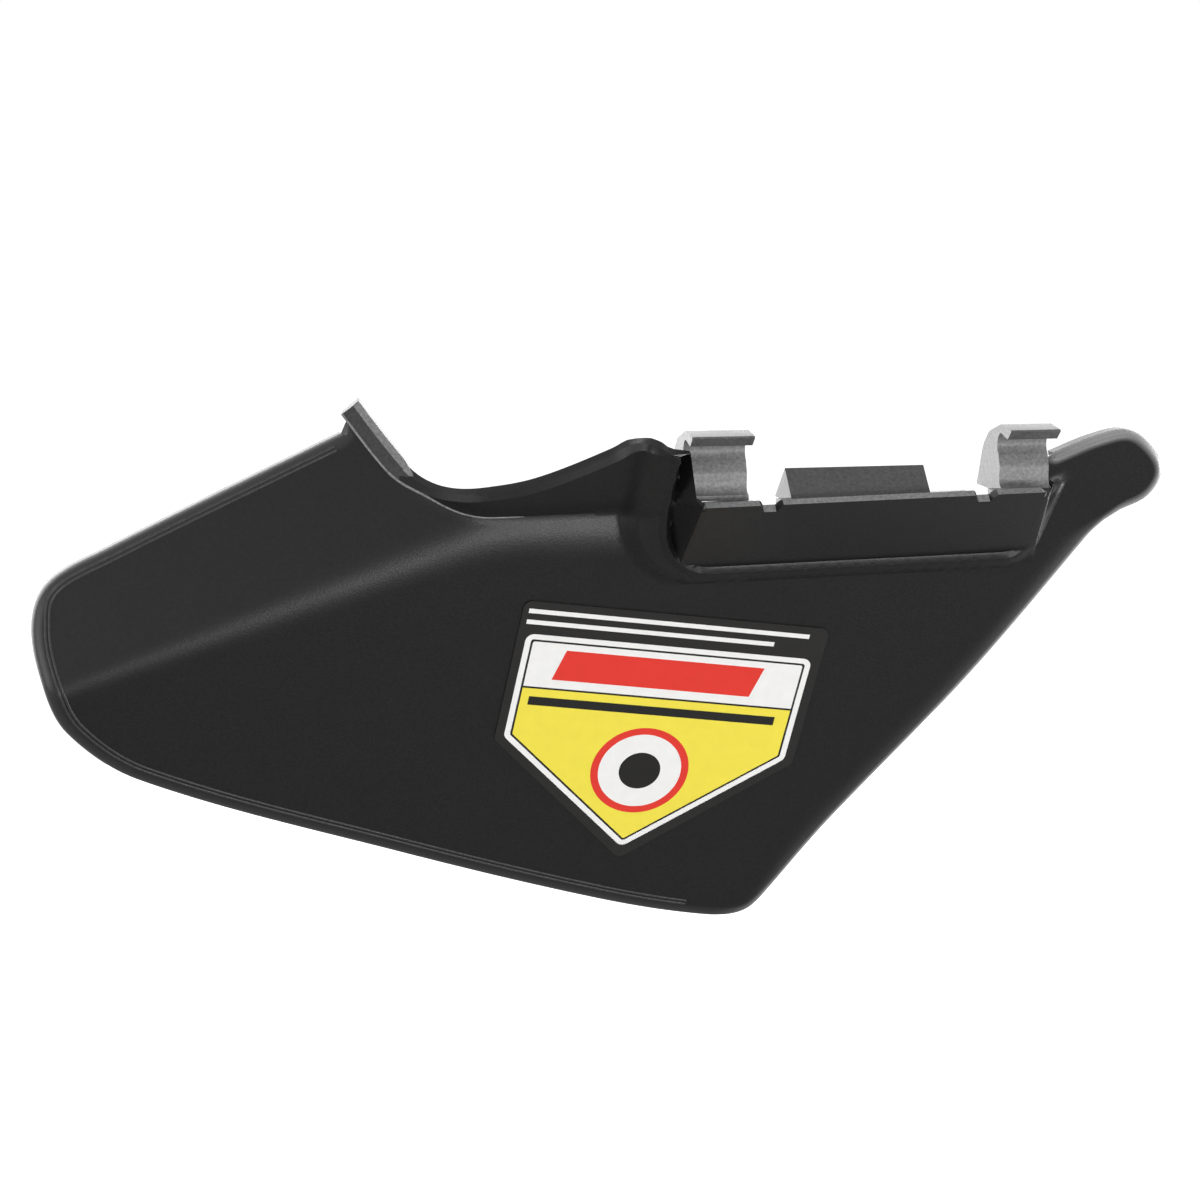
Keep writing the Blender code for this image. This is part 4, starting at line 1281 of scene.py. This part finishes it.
@dataclass
class CollarLip:
    """The lip on the upper end of the collar: a band before the rim, and a return behind it.

    Each pair of sizes is at the collar's upper end and where the lip dies into the rim.
    """

    form: HoodForm
    finish: bpy.types.Material
    return_finish: bpy.types.Material
    bands: Point = (4.4 * MM, 2.7 * MM)
    fronts: Point = (-0.4 * MM, 0.4 * MM)
    sides: Point = (0.2 * MM, -0.3 * MM)
    flares: Point = (3.6 * MM, -0.4 * MM)
    depths: Point = (8.0 * MM, 2.2 * MM)
    roots: Point = (5.0 * MM, 2.0 * MM)
    wall: float = 1.4 * MM
    end_x: float = -144.0 * MM
    growth: float = 2.8
    knee: Point = (0.72, 0.22)
    bevel: float = 0.45 * MM
    course_step: float = 1.0 * MM

    def course(self) -> tuple[Path, Path, Grid, Grid]:
        """Follows the rim from where the lip dies into it up to the collar's end.

        Returns:
            The rim's points, the way out from each, its depth, and the lip's sizes there.
        """
        rim = self.form.collar_rim(self.course_step)
        chosen = rim[:, 0] < self.end_x
        path = rim[chosen]
        growth = smooth_step(np.linspace(0.0, self.growth, len(path)))
        sizes = (self.bands, self.fronts, self.sides, self.flares, self.depths, self.roots)
        levels = np.column_stack([end + (full - end) * growth for full, end in sizes])
        return path, -left_normals(rim)[chosen], self.form.surface(path[:, 0], path[:, 1]), levels

    def build(self) -> bpy.types.Object:
        """Builds the lip.

        Returns:
            The finished piece.
        """
        mesh = bmesh.new()
        rows = []
        along, back = self.knee
        for (x, z), (out_x, out_z), y, level in zip(*self.course()):
            band, face, side, flare, depth, root = level
            section = (
                (-band, face),
                (side, face),
                (side + along * (flare - side), face + back * depth),
                (flare, depth),
                (flare - self.wall, depth),
                (-band, root),
            )
            spots = [(x + out_x * out, y + deep, z + out_z * out) for out, deep in section]
            rows.append([mesh.verts.new(spot) for spot in spots])
        for row, after in zip(rows[:-1], rows[1:]):
            for k in range(len(row)):
                following = (k + 1) % len(row)
                face = mesh.faces.new((row[k], row[following], after[following], after[k]))
                # The return's faces take the lighter finish: a painted highlight for the light that they
                # catch.
                face.material_index = int(k in (1, 2))
        mesh.faces.new(rows[0])
        mesh.faces.new(list(reversed(rows[-1])))
        bmesh.ops.recalc_face_normals(mesh, faces=mesh.faces)
        mesh.transform(hood_place())
        piece = finished("collar_lip", mesh, sharp=30.0)
        piece.data.materials.append(self.finish)
        piece.data.materials.append(self.return_finish)
        return rounded(piece, self.bevel, 35.0)


@dataclass
class CollarLine(HemLines):
    """The fine raised line along the lip's lower edge and the collar's foot, fading out to the right."""

    lip: CollarLip = field(kw_only=True)
    name: str = "collar_line"
    radius: float = 0.42 * MM
    sunk: float = 0.08 * MM
    fade: float = 0.5 * MM
    right_x: float = -110.0 * MM
    smoothings: int = 14
    foot_gap: float = 1.5 * MM
    foot_count: int = 45

    def routes(self) -> list[Path]:
        """Finds the line on the lip and on the hood.

        Returns:
            The points of the line in space.
        """
        path, outward, front, levels = self.lip.course()
        edge = path - outward * levels[:, :1]
        on_hood = self.form.surface(edge[:, 0], edge[:, 1]) + self.sunk
        upper = np.column_stack([edge[:, 0], np.minimum(front + levels[:, 1], on_hood), edge[:, 1]])[::-1]
        x = np.linspace(edge[0, 0] + self.foot_gap, self.right_x, self.foot_count)
        z = self.form.collar_foot(x)
        along = (x - x[0]) / (x[-1] - x[0])
        y = self.form.surface(x, z) + self.sunk + self.fade * along**3
        route = np.vstack([upper, np.column_stack([x, y, z])])
        for _ in range(self.smoothings):
            route[1:-1] = 0.25 * (route[:-2] + 2.0 * route[1:-1] + route[2:])
        return [route]


@dataclass
class Hook:
    """A hook that snaps over the hinge rod: a curved wall with a web at each end.

    The belly is the rod's side of the wall under its bump: the distance behind the bump and the
    height of each point, in millimetres. The grip is where the round seat starts and ends, in degrees.
    """

    name: str
    left: float
    right: float
    finish: bpy.types.Material
    lip_finish: bpy.types.Material
    rod_radius: float = 4.2 * MM
    top_radius: float = 7.2 * MM
    wall: float = 3.0 * MM
    web: float = 2.4 * MM
    lip_tip: Point = (-9.6 * MM, 6.0 * MM)
    lip_under: Point = (-6.2 * MM, 2.8 * MM)
    lip_margins: Point = (1.5 * MM, 0.3 * MM)
    tip_corners: tuple[Point, ...] = ((0.0, -0.4 * MM), (0.4 * MM, 0.2 * MM))
    bump: Point = (1.2 * MM, -7.0 * MM)
    base: Point = (-1.8 * MM, -15.8 * MM)
    grip: Point = (-52.0, 118.0)
    foot_backs: Point = (3.0 * MM, 2.0 * MM)
    saddle: Point = (13.0 * MM, 3.6 * MM)
    shoulder: Point = (19.0 * MM, -1.5 * MM)
    web_radii: Point = (6.0 * MM, 9.0 * MM)
    web_back: float = 25.0 * MM
    web_proud: float = 0.1 * MM
    bevel: float = 0.35 * MM
    crown_count: int = 14
    seat_count: int = 22
    crown_upright: float = 0.3
    end_upright: float = 0.5
    belly: tuple[Point, ...] = (
        (-2.6, -14.1),
        (-1.3, -13.7),
        (-0.4, -13.0),
        (0.0, -12.1),
        (0.15, -11.0),
        (0.1, -9.6),
        (0.0, -8.3),
        (0.0, -7.0),
        (0.25, -6.2),
        (0.85, -5.2),
    )

    def arc(self, radius: float, start: float, end: float, count: int) -> list[Point]:
        """Gives points of an arc about the rod's axis, angles in degrees from +Y towards +Z."""
        angles = np.radians(np.linspace(start, end, count))
        return [(radius * math.cos(angle), radius * math.sin(angle)) for angle in angles]

    def inner_line(self) -> list[Point]:
        """Draws the line that faces the rod, from the base up and round to the lip.

        Returns:
            The (y, z) points.
        """
        belly = [(self.bump[0] + away * MM, z * MM) for away, z in self.belly]
        return [self.base, *belly, *self.arc(self.rod_radius, *self.grip, self.seat_count), self.lip_under]

    def build(self) -> bpy.types.Object:
        """Builds the hook.

        Returns:
            The finished piece.
        """
        inner = self.inner_line()
        nose = [(self.lip_tip[0] + y, self.lip_tip[1] + z) for y, z in self.tip_corners]
        crown = self.arc(self.top_radius, 90.0, 0.0, self.crown_count)
        upper, lower = self.foot_backs
        foot = [(self.bump[0] + self.wall + upper, self.bump[1]), (self.wall + lower, self.base[1])]
        start = self.arc(self.top_radius, 90.0, 74.0, 3)
        corners = [start[-1], self.saddle, self.shoulder, (self.web_back, self.base[1])]
        back = [tuple(point) for point in rounded_path(corners, self.web_radii)[1:]]
        outline = inner + nose + start + back
        left, right = self.left, self.right
        wall_ends = (left + self.web_proud, right - self.web_proud)
        parts = [
            prism(self.name + "_wall", inner + nose + crown + foot, *wall_ends),
            prism(self.name + "_web_left", outline, left, left + self.web),
            prism(self.name + "_web_right", outline, right - self.web, right),
        ]
        piece = united(self.name, parts, self.bevel)
        piece.data.materials.clear()
        piece.data.materials.append(self.finish)
        piece.data.materials.append(self.lip_finish)
        # Painted light: the lip and the upward faces of the crown take their own lighter finish, toned for
        # how brightly these tops are lit.
        lip_y = self.lip_under[0] + self.lip_margins[0]
        lip_z = self.lip_under[1] - self.lip_margins[1]
        for face in piece.data.polygons:
            on_lip = face.center.z > lip_z and face.center.y < lip_y
            on_crown = face.center.z > self.lip_under[1] and face.normal.z > self.crown_upright
            face.material_index = int(abs(face.normal.x) < self.end_upright and (on_lip or on_crown))
        return piece


@dataclass
class StopTab:
    """The stop tab between the hooks: a sloped plate with a triangular wall at each end."""

    finish: bpy.types.Material
    left: float = -28.8 * MM
    right: float = 18.8 * MM
    foot_y: float = -5.5 * MM
    foot_z: float = -17.5 * MM
    apex: Point = (6.0 * MM, -6.4 * MM)
    back_y: float = 19.0 * MM
    wall: float = 2.4 * MM
    wall_proud: float = 0.2 * MM
    bevel: float = 0.4 * MM

    def build(self) -> bpy.types.Object:
        """Builds the tab.

        Returns:
            The finished piece.
        """
        foot = (self.foot_y, self.foot_z)
        under = (self.apex[0] + self.wall, self.apex[1] - self.wall)
        plate = [foot, self.apex, under, (self.foot_y + 2.0 * self.wall, self.foot_z)]
        side = [foot, self.apex, (self.back_y, self.foot_z)]
        parts = [
            prism("tab_plate", plate, self.left + self.wall_proud, self.right - self.wall_proud),
            prism("tab_wall_left", side, self.left, self.left + self.wall),
            prism("tab_wall_right", side, self.right - self.wall, self.right),
        ]
        piece = united("stop_tab", parts, self.bevel)
        piece.data.materials.append(self.finish)
        return piece


@dataclass
class Sticker:
    """The house-shaped sticker: a black film with plain printed fields.

    A bar is its left, top, right and bottom side, and its slant if it has one. The levels are the
    lower and upper side of each layer, in millimetres over the film's back.
    """

    form: HoodForm
    left_x: float = -114.2 * MM
    top_z: float = -47.4 * MM
    turn: float = math.radians(-9.5)
    width: float = 108.0 * MM
    side: float = 55.0 * MM
    height: float = 100.0 * MM
    radius: float = 3.0 * MM
    gap: float = 0.3 * MM
    field_left: float = 3.1 * MM
    field_top: float = 12.5 * MM
    field_width: float = 101.6 * MM
    field_side: float = 41.0 * MM
    field_height: float = 82.5 * MM
    field_radii: Point = (3.0 * MM, 0.8 * MM)
    keyline_inset: float = 2.0 * MM
    print_inset: float = 2.75 * MM
    divider: float = 20.7 * MM
    divider_half: float = 0.38 * MM
    title_bar: tuple[float, ...] = (12.0 * MM, 5.2 * MM, 82.6 * MM, 17.0 * MM, 3.0 * MM)
    rule_bar: tuple[float, ...] = (5.6 * MM, 24.2 * MM, 94.0 * MM, 27.6 * MM)
    head_bars: tuple[tuple[float, ...], ...] = (
        (-1.0 * MM, -9.6 * MM, 98.4 * MM, -7.9 * MM),
        (-1.0 * MM, -5.4 * MM, 86.6 * MM, -3.7 * MM),
    )
    ring_centre: Point = (50.6 * MM, 50.4 * MM)
    ring_radii: tuple[float, ...] = (17.5 * MM, 14.8 * MM, 7.4 * MM)
    ring_count: int = 72
    levels: tuple[Point, ...] = (
        (0.0, 0.2),
        (0.19, 0.215),
        (0.2, 0.23),
        (0.21, 0.245),
        (0.22, 0.26),
        (0.23, 0.275),
        (0.24, 0.29),
    )
    inks: dict[Print, Colour] = field(
        default_factory=lambda: {
            Print.BACKING: (0.012, 0.0112, 0.0105),
            Print.WHITE: (0.785, 0.78, 0.765),
            Print.KEYLINE: (0.008, 0.0075, 0.0065),
            Print.YELLOW: (0.795, 0.675, 0.062),
            Print.RED: (0.68, 0.032, 0.02),
        }
    )

    def house(self, corner: Point, width: float, side: float, height: float, radius: float) -> Path:
        """Draws a house-shaped outline with rounded corners, its point down.

        Args:
            corner: Its upper left corner, right and down from the film's.
            width: Its width.
            side: The height of its upright sides.
            height: Its height down to the point.
            radius: The radius of its corners.

        Returns:
            The outline, measured right and up from the film's corner.
        """
        left, top = corner
        corners = [
            (left, -top),
            (left, -top - side),
            (left + 0.5 * width, -top - height),
            (left + width, -top - side),
            (left + width, -top),
        ]
        start = (left + 0.5 * width, -top)
        return rounded_path([start, *corners, start], [radius] * 5)[:-1]

    def inset_house(self, inset: float) -> Path:
        """Draws the printed field's outline, moved inward.

        Args:
            inset: How far in it lies.

        Returns:
            The outline.
        """
        half = 0.5 * self.field_width
        drop = self.field_height - self.field_side
        slant = math.hypot(half, drop)
        side = self.field_side - inset - inset * (slant - drop) / half
        height = self.field_height - inset - inset * slant / half
        corner = (self.field_left + inset, self.field_top + inset)
        radius = max(self.field_radii[0] - inset, self.field_radii[1])
        return self.house(corner, self.field_width - 2 * inset, side, height, radius)

    def cut(self, outline: Path, level: float, above: bool) -> Path:
        """Keeps the part of an outline above or below a level.

        Args:
            outline: The closed outline.
            level: The level, measured up from the film's upper edge.
            above: Whether the upper part is kept.

        Returns:
            The kept outline.
        """
        kept = []
        for start, end in zip(outline, np.roll(outline, -1, axis=0)):
            inside = (start[1] >= level) == above
            if inside:
                kept.append(start)
            if inside != ((end[1] >= level) == above):
                kept.append(start + (end - start) * (level - start[1]) / (end[1] - start[1]))
        return np.array(kept)

    def bar(self, left: float, top: float, right: float, bottom: float, slant: float = 0.0) -> Path:
        """Draws a plain bar on the printed field.

        Args:
            left: Where its lower side starts.
            top: How far down its upper side lies.
            right: Where its lower side ends.
            bottom: How far down its lower side lies.
            slant: How far its upper side is shifted to the right.

        Returns:
            The outline.
        """
        base_x, base_z = self.field_left, -self.field_top
        return np.array(
            [
                (base_x + left + slant, base_z - top),
                (base_x + left, base_z - bottom),
                (base_x + right, base_z - bottom),
                (base_x + right + slant, base_z - top),
            ]
        )

    def disc(self, radius: float) -> Path:
        """Draws a round field about the rings' centre.

        Args:
            radius: Its radius.

        Returns:
            The outline.
        """
        angles = np.linspace(0.0, math.tau, self.ring_count, endpoint=False)
        x = self.field_left + self.ring_centre[0] + radius * np.cos(angles)
        z = -self.field_top - self.ring_centre[1] + radius * np.sin(angles)
        return np.column_stack([x, z])

    def build(self) -> bpy.types.Object:
        """Builds the sticker's film and prints.

        Returns:
            The finished piece.
        """
        form = self.form
        lean = math.hypot(1.0, form.panel_tilt)
        normal = Vector((0.0, -1.0, -form.panel_tilt)) / lean
        across = Vector((math.cos(self.turn), 0.0, 0.0))
        up = Vector((0.0, -form.panel_tilt, 1.0)) / lean
        right = across + up * math.sin(self.turn)
        above = Vector((-math.sin(self.turn), 0.0, 0.0)) + up * math.cos(self.turn)
        corner = Vector((self.left_x, form.panel_y - form.panel_tilt * self.top_z, self.top_z))
        base = corner + normal * self.gap
        split = -self.field_top - self.divider
        inner = self.inset_house(self.print_inset)
        first_head, second_head = self.head_bars
        outer_ring, inner_ring, dot = self.ring_radii
        plates = [
            (self.house((0.0, 0.0), self.width, self.side, self.height, self.radius), 0, Print.BACKING),
            (self.inset_house(0.0), 1, Print.WHITE),
            (self.inset_house(self.keyline_inset), 2, Print.KEYLINE),
            (self.cut(inner, split + self.divider_half, True), 3, Print.WHITE),
            (self.cut(inner, split - self.divider_half, False), 3, Print.YELLOW),
            (self.bar(*self.title_bar), 4, Print.RED),
            (self.bar(*self.rule_bar), 4, Print.KEYLINE),
            (self.bar(*first_head), 1, Print.WHITE),
            (self.bar(*second_head), 1, Print.WHITE),
            (self.disc(outer_ring), 4, Print.RED),
            (self.disc(inner_ring), 5, Print.WHITE),
            (self.disc(dot), 6, Print.KEYLINE),
        ]
        mesh = bmesh.new()
        for outline, number, ink in plates:
            low, high = self.levels[number]
            lower = [mesh.verts.new(base + right * u + above * v + normal * low * MM) for u, v in outline]
            upper = [mesh.verts.new(base + right * u + above * v + normal * high * MM) for u, v in outline]
            faces = [mesh.faces.new(upper), mesh.faces.new(list(reversed(lower)))]
            for k in range(len(lower)):
                following = (k + 1) % len(lower)
                faces.append(mesh.faces.new((lower[k], lower[following], upper[following], upper[k])))
            for face in faces:
                face.material_index = ink.value
        bmesh.ops.recalc_face_normals(mesh, faces=mesh.faces)
        mesh.transform(hood_place())
        piece = finished("sticker_film", mesh, sharp=20.0)
        for ink in Print:
            piece.data.materials.append(PrintedFilm(ink, self.inks[ink]).material())
        return piece


@dataclass
class Viewpoint:
    """The camera at the photograph's angle."""

    place: Place = (-0.2616, -0.8966, 0.1096)
    azimuth: float = math.radians(10.706)
    elevation: float = math.radians(9.779)
    lens: float = 85.0

    def build(self) -> None:
        """Builds the camera and makes it the scene's own."""
        data = bpy.data.cameras.new("viewpoint")
        data.lens = self.lens
        data.sensor_width = 36.0
        data.clip_start = 0.01
        camera = bpy.data.objects.new("viewpoint", data)
        camera.location = self.place
        camera.rotation_euler = (math.pi / 2 - self.elevation, 0.0, -self.azimuth)
        bpy.context.scene.collection.objects.link(camera)
        bpy.context.scene.camera = camera


@dataclass(frozen=True)
class Lamp:
    """One soft lamp: its place, its width and height, and its power in watts."""

    name: str
    place: Place
    size: Point
    power: float

    def hang(self, aim: Place) -> None:
        """Hangs the lamp.

        Args:
            aim: Where it points.
        """
        data = bpy.data.lights.new(self.name, "AREA")
        data.shape = "RECTANGLE"
        data.size, data.size_y = self.size
        data.energy = self.power
        lamp = bpy.data.objects.new(self.name, data)
        lamp.location = self.place
        lamp.rotation_euler = (Vector(aim) - Vector(self.place)).to_track_quat("-Z", "Y").to_euler()
        lamp.visible_camera = False
        bpy.context.scene.collection.objects.link(lamp)


@dataclass
class Studio:
    """A pale floor and backdrop, and soft lights in front, above and behind."""

    floor_place: Place = (0.0, 3.0, -0.45)
    floor_half: float = 6.0
    floor_tone: float = 0.25
    floor_shown: float = 0.94
    ambient: float = 0.6
    aim: Place = (-0.08, 0.02, -0.08)
    lamps: tuple[Lamp, ...] = (
        Lamp("front_softbox", (0.24, -1.7, -0.16), (1.4, 0.28), 22.0),
        Lamp("top_softbox", (-0.1, -0.1, 1.7), (1.8, 0.8), 3.0),
        Lamp("back_panel", (-0.25, 1.5, 0.05), (2.8, 1.5), 52.0),
        Lamp("side_softbox", (-1.5, -0.3, 0.25), (0.9, 0.9), 8.0),
        Lamp("edge_glow", (1.2, 0.2, -0.22), (0.7, 0.4), 22.0),
    )

    def pale(self, name: str) -> bpy.types.Material:
        """Builds the pale finish of the floor, which glows for the camera so that it reads as white.

        Args:
            name: The material's name.

        Returns:
            The material.
        """
        made = bpy.data.materials.new(name)
        made.use_nodes = True
        nodes, links = made.node_tree.nodes, made.node_tree.links
        shader = nodes["Principled BSDF"]
        shader.inputs["Base Color"].default_value = (*[self.floor_tone] * 3, 1.0)
        shader.inputs["Roughness"].default_value = 0.9
        shader.inputs["Emission Color"].default_value = (1.0, 1.0, 1.0, 1.0)
        rays = nodes.new("ShaderNodeLightPath")
        glow = nodes.new("ShaderNodeMath")
        glow.operation = "MULTIPLY"
        glow.inputs[1].default_value = self.floor_shown
        links.new(rays.outputs["Is Camera Ray"], glow.inputs[0])
        links.new(glow.outputs["Value"], shader.inputs["Emission Strength"])
        return made

    def world(self) -> None:
        """Sets a white world for the camera, and a plain grey one for light."""
        world = bpy.data.worlds.new("studio")
        world.use_nodes = True
        nodes, links = world.node_tree.nodes, world.node_tree.links
        sky = nodes["Background"]
        sky.inputs["Color"].default_value = (1.0, 1.0, 1.0, 1.0)
        rays = nodes.new("ShaderNodeLightPath")
        seen = nodes.new("ShaderNodeMath")
        seen.operation = "MAXIMUM"
        links.new(rays.outputs["Is Camera Ray"], seen.inputs[0])
        links.new(rays.outputs["Is Transmission Ray"], seen.inputs[1])
        level = nodes.new("ShaderNodeMapRange")
        level.inputs["To Min"].default_value = self.ambient
        level.inputs["To Max"].default_value = 1.0
        links.new(seen.outputs["Value"], level.inputs["Value"])
        links.new(level.outputs["Result"], sky.inputs["Strength"])
        bpy.context.scene.world = world

    def build(self) -> None:
        """Builds the floor, the world and the lamps."""
        mesh = bmesh.new()
        bmesh.ops.create_grid(mesh, x_segments=1, y_segments=1, size=self.floor_half)
        floor = finished("floor", mesh)
        floor.location = self.floor_place
        floor.data.materials.append(self.pale("pale_floor"))
        self.world()
        for lamp in self.lamps:
            lamp.hang(self.aim)
        bpy.context.scene.view_settings.view_transform = "Standard"


def main() -> None:
    """Builds the camera, the studio and every piece, and lets each ride on the body."""
    logging.basicConfig(level=logging.INFO, format="%(name)s: %(message)s")
    Viewpoint().build()
    Studio().build()
    form = HoodForm()
    finishes = {kind: MouldedPlastic(*kind.value).material() for kind in Plastic}
    # Every finish but the black is a lighter copy of the same plastic: painted light on the parts that catch
    # the lamps.
    painted_bright, lip_top = finishes[Plastic.RUBBED], finishes[Plastic.LIP]
    lip = CollarLip(form, finishes[Plastic.SATIN], painted_bright)
    moulded = [
        Hood(form, finishes[Plastic.BLACK], painted_bright).build(),
        HemLines(form, finishes[Plastic.WORN]).build(),
        RimLedge(form, painted_bright).build(),
        lip.build(),
        CollarLine(form, painted_bright, lip=lip).build(),
        Hook("hook_rear", -63.6 * MM, -42.8 * MM, painted_bright, lip_top).build(),
        Hook("hook_front", 43.8 * MM, 61.0 * MM, painted_bright, lip_top).build(),
        StopTab(finishes[Plastic.TAB]).build(),
    ]
    for piece in moulded:
        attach(piece, "root")
    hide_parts("chute_moulding")
    sticker = Sticker(form).build()
    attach(sticker, "root")
    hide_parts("sticker")
    for piece in [*moulded, sticker]:
        log.info("%s: %d faces", piece.name, len(piece.data.polygons))


if __name__ == "__main__":
    main()
